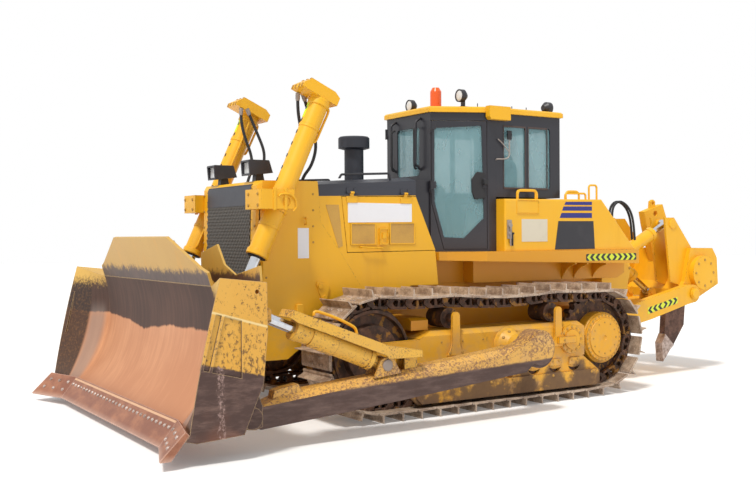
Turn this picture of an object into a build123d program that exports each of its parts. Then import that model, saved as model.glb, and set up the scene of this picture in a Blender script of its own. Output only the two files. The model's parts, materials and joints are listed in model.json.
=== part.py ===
from build123d import *
import math
import os

# Large track-type tractor with a semi-U blade and a single-shank ripper.
# Millimetres; X forward, Y to the left, Z up. Z = 0 is the ground under the grouser tips.
# Lengths along the machine are measured from the sprocket axle; axle_x puts the origin at mid length.

os.makedirs("parts", exist_ok=True)

# Overall reach from the sprocket axle
front_reach = 5540
rear_reach = 2808
axle_x = (rear_reach - front_reach) / 2

# Fits and common walls
fit = 0.3
panel_gap = 6
sheet = 20

# Tracks
gauge_half = 1070
shoe_width = 560
shoe_count = 41
grouser_height = 80
pin_to_plate = 67
plate_depth = 20
rail_height = 65
link_spacing = 92
link_width = 55
bushing_radius = 36
sprocket_teeth = 27
sprocket_z = 647
sprocket_width = 90
idler_x = 3060
idler_radius = 513
idler_z = grouser_height + pin_to_plate + idler_radius
carriers = ((2135, 22), (740, 14))
carrier_radius = 105
carrier_rise = 8
carrier_drop = 12
top_sags = (18, 40, 12)
roller_xs = (490, 770, 1073, 1410, 1783, 2109, 2423)
roller_radius = 110
flange_radius = 145
frame_outer = gauge_half + 230
frame_inner = gauge_half - 230
frame_top = 858
frame_floor = 480
guard_top = 312
guard_foot = 137
pivot_x = 545
pivot_z = 668
pivot_radius = 160
drive_radius = 290
drive_disc = 222

# Hull
case_half = 470
hull_half = 655
case_floor = 520
case_top = 1290
hull_rear = -979
deck_front = 1390
deck_half = 900
deck_inner = 480
deck_top = 1640
deck_under_front = 1534
deck_under_rear = 1467
bar_x = 2475
bar_width = 210

# Radiator guard and hood
hood_half = 700
guard_roof = 2372
guard_bevel = 590
guard_fall = 6
grille_half = 540
grille_floor = 1000
grille_roof = 2335
hood_front = 3386
hood_rear = 1897
hood_crown_half = 560
hood_edge_front = 2338
hood_edge_rear = 2424
hood_crown = 38
door_plate = 22

# Cab
cab_front = 1815
cab_front_half = 440
cab_corner = 1215
cab_corner_half = 712
cab_side = 1100
cab_half = 720
cab_rear = 150
cab_low_half = 475
cab_wall = 40
cab_ledge = 2250
cab_roof_z = 3190
roof_plate = 65
roof_overhang = 28
glass_plate = 10

# Tanks
tank_front = 1105
tank_half = 865
tank_inner = 500
tank_top = 2234
tank_rear = -391
tank_tail = -937

# Blade and its linkage
arm_inner = frame_outer + 350
arm_outer = arm_inner + 200
trunnion_x = 1450
trunnion_z = 665
trunnion_radius = 95
blade_pin_x = 4673
blade_pin_z = 304
blade_pin_radius = 62
centre_half = 1520
wing_half = arm_outer + 200
spill_half = 770
lift_y = 815
lift_foot = (3880, 2150)
lift_eye = (4542, 705)
lift_tube_radius = 100
lift_rod_radius = 52
trunnion_pin_radius = 45
tilt_y = (arm_inner + arm_outer) / 2
tilt_foot = (3300, 642)
tilt_eye = (4530, 1150)
tilt_tube_radius = 95
tilt_rod_radius = 50
eye_half = 55

# Ripper
ripper_pin_x = -900
ripper_pin_z = 775
ripper_pin_radius = 60
ripper_arm_outer = 740
ripper_arm_inner = 640
beam_pin_x = -2168
beam_pin_z = 1045
beam_half = 625
drum_half = 700
shank_half = 50
mast_pin = (-1968, 1955)
ripper_foot = (-1180, 1566)
arm_lug = (-1900, 1060)
ripper_tilt_y = 430
ripper_lift_y = 200
ripper_tube_radius = 82
ripper_rod_radius = 45


def side(y):
    """Upright plane along the machine at y: its x runs forward, its y up, its normal to the right."""
    return Plane(origin=(axle_x, y, 0), x_dir=(1, 0, 0), z_dir=(0, -1, 0))


def across(x):
    """Upright plane across the machine at x: its x runs left, its y up, its normal forward."""
    return Plane(origin=(axle_x + x, 0, 0), x_dir=(0, 1, 0), z_dir=(1, 0, 0))


def level(z):
    """Level plane at z with its origin over the sprocket axle."""
    return Plane(origin=(axle_x, 0, z))


def along(foot, tip, y):
    """Plane square to the line from foot to tip, both (x, z), at the foot."""
    return Plane(origin=(axle_x + foot[0], y, foot[1]), x_dir=(0, 1, 0),
                 z_dir=(tip[0] - foot[0], 0, tip[1] - foot[1]))


def plate(outline, y_outer, width):
    """Flat part with an outline of (x, z) corners, from y_outer inward by width."""
    with BuildPart() as part:
        with BuildSketch(side(y_outer)):
            with BuildLine():
                Polyline(*outline, close=True)
            make_face()
        extrude(amount=width)
    return part.part


def rod(x, z, radius, y_from, y_to):
    """Round bar across the machine at (x, z) from y_from down to y_to."""
    with BuildPart() as part:
        with BuildSketch(side(y_from)):
            with Locations((x, z)):
                Circle(radius)
        extrude(amount=y_from - y_to)
    return part.part


def deck_under(x):
    """Height of the decks' underside, which drops towards the rear."""
    slope = (deck_under_front - deck_under_rear) / (deck_front - hull_rear)
    return deck_under_rear + slope * (x - hull_rear)


def distance(a, b):
    return math.hypot(b[0] - a[0], b[1] - a[1])


# Track path: arcs round sprocket and idler, straight ground run, sagging top run.
# The sprocket's pin circle follows from the pitch, since the teeth mesh with every second bushing.
def path_points(sprocket_radius):
    points = []
    for step in range(19):
        turn = math.radians(180 - 5 * step)
        points.append((sprocket_radius * math.cos(turn), sprocket_z + sprocket_radius * math.sin(turn)))
    rests = [(0, sprocket_z + sprocket_radius)]
    for carrier_x, _ in reversed(carriers):
        rests.append((carrier_x, carrier_z(carrier_x) + carrier_radius + rail_height))
    rests.append((idler_x, idler_z + idler_radius))
    for start, end, sag in zip(rests, rests[1:], reversed(top_sags)):
        for step in range(1, 13):
            t = step / 12
            points.append((start[0] + t * (end[0] - start[0]),
                           start[1] + t * (end[1] - start[1]) - 4 * sag * t * (1 - t)))
    for step in range(1, 37):
        turn = math.radians(90 - 5 * step)
        points.append((idler_x + idler_radius * math.cos(turn), idler_z + idler_radius * math.sin(turn)))
    points.append((roller_xs[0] - 150, idler_z - idler_radius))
    for step in range(19):
        turn = math.radians(270 - 5 * step)
        points.append((sprocket_radius * math.cos(turn), sprocket_z + sprocket_radius * math.sin(turn)))
    return points


def carrier_z(x):
    """Carrier rollers stand so that the chain runs level from the sprocket to a little under the idler."""
    top_rear = sprocket_z + 500
    return top_rear - carrier_radius - rail_height + carrier_rise * x / 2135


def path_length(points):
    return sum(distance(a, b) for a, b in zip(points, points[1:]))


def pins_on(points, count):
    """Pins at equal steps along the path, the first at the rear of the sprocket."""
    step = path_length(points) / count
    pins = [points[0]]
    walked = 0
    for a, b in zip(points, points[1:]):
        run = distance(a, b)
        while len(pins) < count and walked + run >= step * len(pins):
            t = (step * len(pins) - walked) / run
            pins.append((a[0] + t * (b[0] - a[0]), a[1] + t * (b[1] - a[1])))
        walked += run
    return pins


sprocket_radius = 490
for _ in range(6):
    pitch = path_length(path_points(sprocket_radius)) / shoe_count
    sprocket_radius = pitch * sprocket_teeth / (4 * math.pi)
track_pins = pins_on(path_points(sprocket_radius), shoe_count)


def loop_outline(profile):
    """Closed outline round the track: profile gives (share of the pitch, height over the pin line)."""
    outline = []
    for pin, ahead in zip(track_pins, track_pins[1:] + track_pins[:1]):
        link = distance(pin, ahead)
        along_x = (ahead[0] - pin[0]) / link
        along_z = (ahead[1] - pin[1]) / link
        for share, height in profile:
            outline.append((pin[0] + share * link * along_x - height * along_z,
                            pin[1] + share * link * along_z + height * along_x))
    return outline


plate_face = pin_to_plate
plate_back = pin_to_plate - plate_depth
tip = pin_to_plate + grouser_height
# share of the pitch, height over the pin line
shoe_profile = ((0.03, plate_back + 3), (0.09, plate_face), (0.16, plate_face), (0.19, tip),
                (0.26, tip), (0.33, plate_face))
link_profile = ((0.0, -rail_height + 22), (0.08, -rail_height), (0.92, -rail_height))

with BuildPart() as left_track:
    shoe_edge = gauge_half + shoe_width / 2
    with BuildSketch(side(shoe_edge)):
        with BuildLine():
            Polyline(*loop_outline(shoe_profile), close=True)
        make_face()
        with BuildLine():
            Polyline(*loop_outline(((0.0, plate_back),)), close=True)
        make_face(mode=Mode.SUBTRACT)
    extrude(amount=shoe_width)
    for offset_y in (link_spacing, -link_spacing):
        with BuildSketch(side(gauge_half + offset_y + link_width / 2)):
            with BuildLine():
                Polyline(*loop_outline(((0.0, plate_back),)), close=True)
            make_face()
            with BuildLine():
                Polyline(*loop_outline(link_profile), close=True)
            make_face(mode=Mode.SUBTRACT)
        extrude(amount=link_width)
    with BuildSketch(side(gauge_half + link_spacing - link_width / 2)):
        with Locations(*track_pins):
            RegularPolygon(bushing_radius, 6)
    extrude(amount=2 * link_spacing - link_width)
left_track.part.label = "left_track"
export_step(left_track.part, "parts/left_track.step")

with BuildPart() as right_track:
    mirror(left_track.part, about=Plane.XZ)
right_track.part.label = "right_track"
export_step(right_track.part, "parts/right_track.step")

# Sprockets: a toothed rim whose valleys are round seats for the bushings, on a flanged hub
tooth_tip = sprocket_radius + 10
with BuildPart() as sprockets:
    with BuildSketch(side(gauge_half + sprocket_width / 2)):
        with Locations((0, sprocket_z)):
            Circle(tooth_tip)
        with Locations((0, sprocket_z)):
            with PolarLocations(sprocket_radius, sprocket_teeth, start_angle=180):
                Circle(bushing_radius + 2, mode=Mode.SUBTRACT)
        with Locations((0, sprocket_z)):
            Circle(drive_radius + fit, mode=Mode.SUBTRACT)
    extrude(amount=sprocket_width)
    mirror(about=Plane.XZ)
sprockets.part.label = "sprockets"
export_step(sprockets.part, "parts/sprockets.step")

# Final drives: housing from the hull out through the sprocket, with a stepped cover
cover_face = frame_outer - 10
with BuildPart() as final_drives:
    with BuildSketch(across(0)):
        with BuildLine():
            Polyline((case_half, sprocket_z), (case_half, sprocket_z + drive_radius + 40),
                     (gauge_half - 170, sprocket_z + drive_radius + 40), (gauge_half - 110, sprocket_z + drive_radius),
                     (cover_face - 52, sprocket_z + drive_radius), (cover_face - 40, sprocket_z + drive_radius - 10),
                     (cover_face - 40, sprocket_z + drive_radius - 18),
                     (cover_face - 14, sprocket_z + drive_radius - 24), (cover_face - 14, sprocket_z + drive_disc + 6),
                     (cover_face, sprocket_z + drive_disc), (cover_face, sprocket_z + 30),
                     (cover_face - 8, sprocket_z + 24), (cover_face - 8, sprocket_z), close=True)
        make_face()
    revolve(axis=Axis((axle_x, 0, sprocket_z), (0, 1, 0)))
    mirror(about=Plane.XZ)
final_drives.part.label = "final_drives"
export_step(final_drives.part, "parts/final_drives.step")

# Idlers: two treads for the link rails with a centre ridge between the rails
tread = idler_radius * math.cos(pitch / idler_radius / 2) - rail_height - 3
ridge = idler_radius - bushing_radius - 8
# distance from the wheel's middle plane, radius
idler_profile = ((155, 0), (155, 150), (140, 285), (60, 300), (60, 395), (128, 405), (128, tread),
                 (60, tread), (52, ridge))
with BuildPart() as idlers:
    with BuildSketch(across(idler_x)):
        with BuildLine():
            Polyline(*((gauge_half + out, idler_z + radius) for out, radius in idler_profile),
                     *((gauge_half - out, idler_z + radius) for out, radius in reversed(idler_profile)),
                     close=True)
        make_face()
    revolve(axis=Axis((axle_x + idler_x, 0, idler_z), (0, 1, 0)))
    mirror(about=Plane.XZ)
idlers.part.label = "idlers"
export_step(idlers.part, "parts/idlers.step")

# Rollers: twin flanged treads on shafts in the frame's side plates, and carrier rollers on brackets above
roller_z = idler_z - idler_radius + rail_height + roller_radius + fit
side_plate = 30
shaft_half = (frame_outer - frame_inner) / 2 - side_plate
roller_profile = ((shaft_half, 0), (shaft_half, 45), (168, 45), (160, flange_radius),
                  (132, flange_radius), (126, roller_radius), (52, roller_radius), (40, 76))
frame_middle = (frame_outer + frame_inner) / 2
bracket_face = frame_outer + 30
with BuildPart() as roller:
    with BuildSketch(Plane.YZ):
        with BuildLine():
            Polyline(*((out, radius) for out, radius in roller_profile),
                     *((-out, radius) for out, radius in reversed(roller_profile)), close=True)
        make_face()
    revolve(axis=Axis.Y)
with BuildPart() as track_rollers:
    with Locations(*((axle_x + x, frame_middle, roller_z) for x in roller_xs)):
        add(roller.part)
    for carrier_x, _ in carriers:
        wheel_z = carrier_z(carrier_x) - carrier_drop
        add(rod(carrier_x, wheel_z, carrier_radius, gauge_half + link_spacing + 40, gauge_half - link_spacing - 40))
        add(rod(carrier_x, wheel_z, 48, frame_outer, gauge_half))
    mirror(about=Plane.XZ)
track_rollers.part.label = "track_rollers"
export_step(track_rollers.part, "parts/track_rollers.step")

# Track frames: box over the rollers, side plates down to the guards, fork to the idler
bracket_foot = frame_floor + 120
roller_pad = 16
frame_rear = 330
frame_front = 2570
fork_top = idler_z + 110
with BuildPart() as track_frames:
    add(plate(((frame_rear, frame_floor), (frame_front, frame_floor), (frame_front, frame_top - 70),
               (frame_front - 160, frame_top), (frame_rear + 60, frame_top), (frame_rear, frame_top - 60)),
              frame_outer, frame_outer - frame_inner))
    outer_edges = track_frames.edges().filter_by(Axis.X).group_by(Axis.Z)[-1]
    chamfer(outer_edges, 50)
    rail = ((94, guard_foot), (2600, guard_foot), (2700, guard_foot + 90), (2700, frame_floor),
            (frame_rear + 30, frame_floor), (94, guard_top - 22))
    for outer in (frame_outer, frame_inner + side_plate):
        add(plate(rail, outer, side_plate))
    for outer in (frame_outer, frame_inner + 70):
        add(plate(((frame_front - 10, frame_floor), (idler_x - 60, idler_z - 130), (idler_x + 70, idler_z - 120),
                   (idler_x + 130, idler_z), (idler_x + 70, fork_top), (frame_front - 10, frame_top - 76)),
                  outer, 70))
    for outer, toward in ((frame_outer - 70, 1), (frame_inner + 70, -1)):
        add(rod(idler_x, idler_z, 110, max(outer, gauge_half + toward * 155),
                min(outer, gauge_half + toward * 155)))
    add(plate(((160, guard_foot), (2560, guard_foot), (2620, guard_foot + 60), (2620, guard_top),
               (150, guard_top), (120, guard_top - 40), (120, guard_foot + 50)), frame_outer + 24, 24))
    for carrier_x, foot_x in carriers:
        wheel_z = carrier_z(carrier_x)
        with BuildSketch(side(bracket_face)):
            with BuildLine():
                Line((carrier_x - 100, bracket_foot), (carrier_x + 100, bracket_foot))
                ThreePointArc((carrier_x + 100, bracket_foot), (carrier_x + 62, bracket_foot + 70),
                              (carrier_x + 50, bracket_foot + 190))
                Line((carrier_x + 50, bracket_foot + 190), (carrier_x + 46, wheel_z))
                ThreePointArc((carrier_x + 46, wheel_z), (carrier_x, wheel_z + 58), (carrier_x - 46, wheel_z))
                Line((carrier_x - 46, wheel_z), (carrier_x - 50, bracket_foot + 190))
                ThreePointArc((carrier_x - 50, bracket_foot + 190), (carrier_x - 62, bracket_foot + 70),
                              (carrier_x - 100, bracket_foot))
            make_face()
        extrude(amount=bracket_face - frame_outer)
    for x in roller_xs:
        add(plate(((x - 88, guard_top + 76), (x + 88, guard_top + 76), (x + 70, frame_floor - 14),
                   (x - 70, frame_floor - 14)), frame_outer + roller_pad, roller_pad))
        with BuildSketch(side(frame_outer)):
            with BuildLine():
                ThreePointArc((x - 84, guard_top + 58), (x, guard_top + 6), (x + 84, guard_top + 58))
                ThreePointArc((x + 84, guard_top + 58), (x, guard_top + 42), (x - 84, guard_top + 58))
            make_face()
        extrude(amount=side_plate, mode=Mode.SUBTRACT)
    with BuildSketch(side(gauge_half + sprocket_width / 2 + 40)):
        with Locations((0, sprocket_z)):
            Circle(tooth_tip + 35)
    extrude(amount=sprocket_width + 80, mode=Mode.SUBTRACT)
    add(rod(pivot_x, pivot_z, pivot_radius, frame_outer + 30, frame_outer))
    add(rod(pivot_x, pivot_z, pivot_radius - 50, frame_outer + 44, frame_outer + 30))
    add(plate(((pivot_x - 40, pivot_z - 36), (pivot_x + 215, pivot_z - 36), (pivot_x + 215, pivot_z + 36),
               (pivot_x - 40, pivot_z + 36)), frame_outer + 62, 62))
    mirror(about=Plane.XZ)
track_frames.part.label = "track_frames"
export_step(track_frames.part, "parts/track_frames.step")

# Equalizer bar: deep in the middle, its ends resting on the track frames
with BuildPart() as equalizer_bar:
    with BuildSketch(across(bar_x - bar_width / 2)):
        with BuildLine():
            Polyline((0, 700), (420, 740), (frame_inner - 80, frame_top + 2), (gauge_half + 90, frame_top + 2),
                     (gauge_half + 90, 960), (gauge_half + 40, 985), (0, 985), close=True)
        make_face()
        mirror(about=Plane.YZ)
    extrude(amount=bar_width)
equalizer_bar.part.label = "equalizer_bar"
export_step(equalizer_bar.part, "parts/equalizer_bar.step")

# Pivot shaft: carries the rear of both track frames from the hull
with BuildPart() as pivot_shaft:
    add(rod(pivot_x, pivot_z, 130, frame_inner, case_half))
    mirror(about=Plane.XZ)
pivot_shaft.part.label = "pivot_shaft"
export_step(pivot_shaft.part, "parts/pivot_shaft.step")

# Main frame: belly case between the tracks, wider hull above them, mounts under the cab
bar_front = bar_x + bar_width / 2 + 40
bar_back = bar_x - bar_width / 2 - 40
with BuildPart() as main_frame:
    add(plate(((-620, case_top), (-620, 820), (-380, case_floor), (bar_back, case_floor), (bar_back, 985),
               (bar_front, 985), (bar_front, 700), (3640, 700), (3640, 1200), (2800, 1200),
               (2700, case_top)), case_half, 2 * case_half))
    add(plate(((deck_front, case_top), (deck_front, deck_under(deck_front)),
               (hull_rear, deck_under(hull_rear)), (hull_rear, case_top + 60), (hull_rear + 120, case_top)),
              hull_half, 2 * hull_half))
    add(plate(((cab_front, case_top), (cab_front, deck_top), (cab_rear, deck_top), (cab_rear, case_top)),
              cab_low_half, 2 * cab_low_half))
main_frame.part.label = "main_frame"
export_step(main_frame.part, "parts/main_frame.step")

# Decks over the tracks, with curved gussets under the rear half
gusset_xs = (60, -130, -440)
gusset_plate = 24
gusset_reach = 890
deck_nose = ((1790, 710), (deck_front, deck_half))
with BuildPart() as decks:
    with BuildSketch(level(deck_under_rear)):
        with BuildLine():
            Polyline((hood_rear, deck_inner), (hood_rear, 705), *deck_nose, (hull_rear, deck_half),
                     (hull_rear, deck_inner), close=True)
        make_face()
    extrude(amount=deck_top - deck_under_rear)
    with BuildSketch(side(deck_half)):
        with BuildLine():
            Polyline((hull_rear, deck_under(hull_rear)), (hood_rear + 10, deck_under(hood_rear + 10)),
                     (hood_rear + 10, deck_under_rear - 10), (hull_rear, deck_under_rear - 10), close=True)
        make_face()
    extrude(amount=deck_half - deck_inner, mode=Mode.SUBTRACT)
    for x in gusset_xs:
        with BuildSketch(across(x - gusset_plate / 2)):
            with BuildLine():
                Polyline((hull_half, case_top + 10), (hull_half, deck_under(x)), (gusset_reach, deck_under(x)),
                         (gusset_reach, deck_under(x) - 20))
                RadiusArc((gusset_reach, deck_under(x) - 20), (hull_half, case_top + 10), -320)
            make_face()
        extrude(amount=gusset_plate)
    mirror(about=Plane.XZ)
decks.part.label = "decks"
export_step(decks.part, "parts/decks.step")

# Side tanks on the decks, tapering down at the rear
with BuildPart() as side_tanks:
    add(plate(((tank_front, deck_top), (tank_front, tank_top - 8), (tank_rear, tank_top + 6),
               (tank_tail, deck_top + 20), (tank_tail, deck_top)), tank_half, tank_half - tank_inner))
    outer_edges = side_tanks.edges().filter_by(Axis.Y, reverse=True).group_by(Axis.Y)[-1]
    fillet(outer_edges.sort_by(Axis.Z)[1:], 22)
    mirror(about=Plane.XZ)
side_tanks.part.label = "side_tanks"
export_step(side_tanks.part, "parts/side_tanks.step")

# Rear tank between the side tanks, leaning forward at its back
rear_tank_top = 2032
with BuildPart() as rear_tank:
    add(plate(((cab_rear - 60, deck_under(cab_rear - 60) + fit), (cab_rear - 60, rear_tank_top),
               (-1019, rear_tank_top), (-1098, deck_under_rear + fit), (hull_rear, deck_under_rear + fit)),
              deck_inner - fit, 2 * (deck_inner - fit)))
    fillet(rear_tank.edges().filter_by(Axis.Y).sort_by(Axis.Z)[-2:], 40)
rear_tank.part.label = "rear_tank"
export_step(rear_tank.part, "parts/rear_tank.step")

# Tank handles: two low bars along the tank and one tall grab rail at its rear
# x of each foot, height over the tank, y
handle_table = ((873, 598, 95, 800), (142, -184, 70, 800), (-240, -366, 170, 800))
with BuildPart() as tank_handles:
    for x_front, x_rear, rise, y in handle_table:
        foot = tank_top - 8 + 14 * (tank_front - x_front) / (tank_front - tank_rear) + fit
        rear_foot = tank_top - 8 + 14 * (tank_front - x_rear) / (tank_front - tank_rear) + fit
        with BuildLine(side(y)):
            FilletPolyline((x_front, foot), (x_front, foot + rise), (x_rear, rear_foot + rise),
                           (x_rear, rear_foot), radius=30)
        with BuildSketch(Plane(origin=(axle_x + x_front, y, foot))):
            Circle(12)
        sweep()
    mirror(about=Plane.XZ)

# Radiator guard: bevelled box round the core, open to the hood behind
guard_outline = ((4038, 2315), (4057, 1637), (4087, 610), (3734, 610), (3610, 698), (2819, 1206),
                 (3111, 1638), (3355, 1964), (hood_front, guard_roof), (3990, guard_roof - guard_fall))
boss_plate = 14
with BuildPart() as radiator_guard:
    add(plate(guard_outline, hood_half, 2 * hood_half))
    for face_side in (1, -1):
        with BuildSketch(level(500)):
            with BuildLine():
                Polyline((4200, face_side * (guard_bevel - 110)), (4100, face_side * guard_bevel),
                         (3991, face_side * (hood_half + 5)), (3991, face_side * (hood_half + 100)),
                         (4200, face_side * (hood_half + 100)), close=True)
            make_face()
        extrude(amount=2000, mode=Mode.SUBTRACT)
    with BuildSketch(side(hood_half - sheet)):
        with BuildLine():
            Polyline((3990, guard_roof - guard_fall - sheet), (4015, 2250), (4050, 690), (3700, 650), (2600, 1150),
                     (3050, 1700), (hood_front - 60, 2000), (hood_front - 60, guard_roof - 2 * sheet), close=True)
        make_face()
    extrude(amount=2 * (hood_half - sheet), mode=Mode.SUBTRACT)
    with BuildSketch(across(3900)):
        with Locations((0, (grille_floor + grille_roof) / 2)):
            Rectangle(2 * grille_half, grille_roof - grille_floor)
    extrude(amount=300, mode=Mode.SUBTRACT)
    add(rod(*lift_foot, trunnion_pin_radius + fit, hood_half + 1, -hood_half - 1), mode=Mode.SUBTRACT)
    for outer in (hood_half + boss_plate, -hood_half):
        add(plate(((3415, 1340), (3400, 1370), (3290, 1340), (3262, 1310), (3300, 1165), (3345, 1150)),
                  outer, boss_plate))
    for x, z in ((3372, 1318), (3322, 1200)):
        add(rod(x, z, 26, hood_half + 2 * boss_plate, hood_half))
        add(rod(x, z, 26, -hood_half, -hood_half - 2 * boss_plate))
radiator_guard.part.label = "radiator_guard"
export_step(radiator_guard.part, "parts/radiator_guard.step")

# Grille: perforated plate in the guard's front, blank above the holes
plate_band = 2131
hole_pitch = 112
hole_radius = 38
hole_columns = 9
hole_rows = 9
with BuildPart() as radiator_grille:
    add(plate(((4016, grille_roof - fit), (4034, grille_roof - fit), (4068, grille_floor + fit),
               (4050, grille_floor + fit)), grille_half - fit, 2 * (grille_half - fit)))
    mesh_middle = (plate_band + grille_floor) / 2
    with BuildSketch(across(3950)):
        with Locations((0, mesh_middle)):
            with GridLocations(hole_pitch, hole_pitch, hole_columns, hole_rows):
                RegularPolygon(hole_radius, 4, rotation=45)
            with GridLocations(hole_pitch, hole_pitch, hole_columns - 1, hole_rows - 1):
                RegularPolygon(hole_radius, 4, rotation=45)
    extrude(amount=200, mode=Mode.SUBTRACT)
radiator_grille.part.label = "radiator_grille"
export_step(radiator_grille.part, "parts/radiator_grille.step")


# Hood: folded sheet with a raised crown, cut back towards the cab, with an opening for each engine door
def hood_section(x, edge_z):
    inner = sheet * 0.6
    outer_half = ((hood_half, case_floor), (hood_half, edge_z), (hood_crown_half, edge_z + hood_crown))
    inner_half = ((hood_half - sheet, case_floor), (hood_half - sheet, edge_z - inner),
                  (hood_crown_half - inner / 2, edge_z + hood_crown - sheet))
    mirrored = tuple((-y, z) for y, z in reversed(outer_half))
    inner_mirrored = tuple((-y, z) for y, z in inner_half)
    return (*outer_half, *mirrored, *inner_mirrored, *reversed(inner_half))


def hood_edge(x):
    return hood_edge_front + (hood_edge_rear - hood_edge_front) * (hood_front - x) / (hood_front - hood_rear)


engine_door_outline = ((3107, 2221), (2193, 2237), (1940, 1664), (3043, 1654))
engine_hinges = ((2926, 3056), (2263, 2395))
engine_hinge_z = 2264
hinge_barrel = 12
hinge_pin = 6
leaf = 8
stack_x = 2540
stack_radius = 106
cowl_top = 2430

with BuildPart() as hood_sheet:
    for x in (hood_front, hood_rear):
        with BuildSketch(across(x)):
            with BuildLine():
                Polyline(*hood_section(x, hood_edge(x)), close=True)
            make_face()
    loft()
    with BuildSketch(side(hood_half + 5)):
        with BuildLine():
            Polyline((hood_front, 2600), (2196, 2600), (2196, 2237), (1943, 1664), (1903, case_top + fit),
                     (2266, case_top + fit), (2300, 1225), (2819, 1206), (3111, 1638), (3355, 1964),
                     (hood_front, guard_roof + 1), close=True)
        make_face()
    extrude(amount=2 * hood_half + 10, mode=Mode.INTERSECT)
    with BuildSketch(side(hood_half + 5)):
        with BuildLine():
            Polyline(*engine_door_outline, close=True)
        make_face()
        offset(amount=panel_gap, kind=Kind.INTERSECTION, mode=Mode.REPLACE)
    extrude(amount=sheet + 10, mode=Mode.SUBTRACT)
    with BuildSketch(side(5 - hood_half + sheet)):
        with BuildLine():
            Polyline(*engine_door_outline, close=True)
        make_face()
        offset(amount=panel_gap, kind=Kind.INTERSECTION, mode=Mode.REPLACE)
    extrude(amount=sheet + 10, mode=Mode.SUBTRACT)
    with BuildSketch(level(2300)):
        with Locations((stack_x, 0)):
            Circle(stack_radius + fit)
    extrude(amount=300, mode=Mode.SUBTRACT)
    for hand in (1, -1):
        pin_y = hand * (hood_half + hinge_barrel)
        for hinge_rear, hinge_front in engine_hinges:
            middle = (hinge_rear + hinge_front) / 2
            for start in (hinge_rear, hinge_front - 40):
                with BuildSketch(across(start)):
                    with Locations((pin_y, engine_hinge_z)):
                        Circle(hinge_barrel)
                    with Locations((hand * (hood_half + leaf / 2), engine_hinge_z + 24)):
                        Rectangle(leaf, 48)
                extrude(amount=40)
            with BuildSketch(across(hinge_rear)):
                with Locations((pin_y, engine_hinge_z)):
                    Circle(hinge_pin)
            extrude(amount=hinge_front - hinge_rear)

# The hood is three panels: the crown, and a side panel under each of its folds
hood_seam = engine_hinge_z + 58
with BuildPart() as engine_hood:
    add(hood_sheet.part)
    split(bisect_by=level(hood_seam), keep=Keep.TOP)
engine_hood.part.label = "engine_hood"
export_step(engine_hood.part, "parts/engine_hood.step")

with BuildPart() as left_hood_side:
    add(hood_sheet.part)
    split(bisect_by=level(hood_seam), keep=Keep.BOTTOM)
    split(bisect_by=Plane.XZ, keep=Keep.BOTTOM)
left_hood_side.part.label = "left_hood_side"
export_step(left_hood_side.part, "parts/left_hood_side.step")

with BuildPart() as right_hood_side:
    mirror(left_hood_side.part, about=Plane.XZ)
right_hood_side.part.label = "right_hood_side"
export_step(right_hood_side.part, "parts/right_hood_side.step")

# Bulkhead: bent sheet that closes the hood's rear, ahead of the cowl
bulkhead_front = 2220
bulkhead_half = hood_half - door_plate - panel_gap
bulkhead_top = hood_edge(bulkhead_front) - 0.6 * sheet - fit
with BuildPart() as hood_bulkhead:
    add(plate(((1910, case_top + fit), (1945, 1664), (bulkhead_front - sheet, 2237),
               (bulkhead_front - sheet, bulkhead_top), (bulkhead_front, bulkhead_top), (bulkhead_front, 2237),
               (1965, 1664), (1930, case_top + fit)), bulkhead_half, 2 * bulkhead_half))
hood_bulkhead.part.label = "hood_bulkhead"
export_step(hood_bulkhead.part, "parts/hood_bulkhead.step")

with BuildPart() as left_engine_door:
    add(plate(engine_door_outline, hood_half, door_plate))
    for hinge_rear, hinge_front in engine_hinges:
        with BuildSketch(across(hinge_rear + 43)):
            with Locations((hood_half + hinge_barrel, engine_hinge_z)):
                Circle(hinge_barrel)
            with Locations((hood_half + leaf / 2, engine_hinge_z - 20)):
                Rectangle(leaf, 40)
        extrude(amount=hinge_front - hinge_rear - 86)
        with BuildSketch(across(hinge_rear)):
            with Locations((hood_half + leaf / 2, engine_hinge_z - 70)):
                Rectangle(leaf, 70)
        extrude(amount=hinge_front - hinge_rear)
        with BuildSketch(across(hinge_rear + 43)):
            with Locations((hood_half + hinge_barrel, engine_hinge_z)):
                Circle(hinge_pin + fit)
        extrude(amount=hinge_front - hinge_rear - 86, mode=Mode.SUBTRACT)
    add(plate(((2557, 1732), (2663, 1732), (2663, 1894), (2557, 1894)), hood_half + 14, 14))
left_engine_door.part.label = "left_engine_door"
export_step(left_engine_door.part, "parts/left_engine_door.step")

with BuildPart() as right_engine_door:
    mirror(left_engine_door.part, about=Plane.XZ)
right_engine_door.part.label = "right_engine_door"
export_step(right_engine_door.part, "parts/right_engine_door.step")

# Engine and radiator core: plain masses on the main frame
core_foot = 1200
with BuildPart() as engine_block:
    add(plate(((2250, case_top + fit), (3250, case_top + fit), (3250, 1950), (3000, 2120), (2250, 2120)), 420, 840))
    add(plate(((3700, 1210), (3960, 1210), (3960, 2300), (3700, 2300)), 560, 1120))
    add(plate(((3600, core_foot + fit), (3640, core_foot + fit), (3640, 1260), (3700, 1260), (3700, 1300),
               (3600, 1300)), 300, 600))
engine_block.part.label = "engine_block"
export_step(engine_block.part, "parts/engine_block.step")

# Exhaust stack: pipe up through the hood with a drum-shaped outlet
with BuildPart() as exhaust_stack:
    with BuildSketch(across(stack_x)):
        with BuildLine():
            Polyline((0, 2120 + fit), (stack_radius, 2120 + fit), (stack_radius, 2770), (173, 2788), (173, 2900),
                     (158, 2915), (90, 2915), (90, 2700), (0, 2700), close=True)
        make_face()
    revolve(axis=Axis((axle_x + stack_x, 0, 0), (0, 0, 1)))
exhaust_stack.part.label = "exhaust_stack"
export_step(exhaust_stack.part, "parts/exhaust_stack.step")

# Hood rails: bent bars along both shoulders of the hood
rail_y = 640
rail_bar = 12


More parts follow.
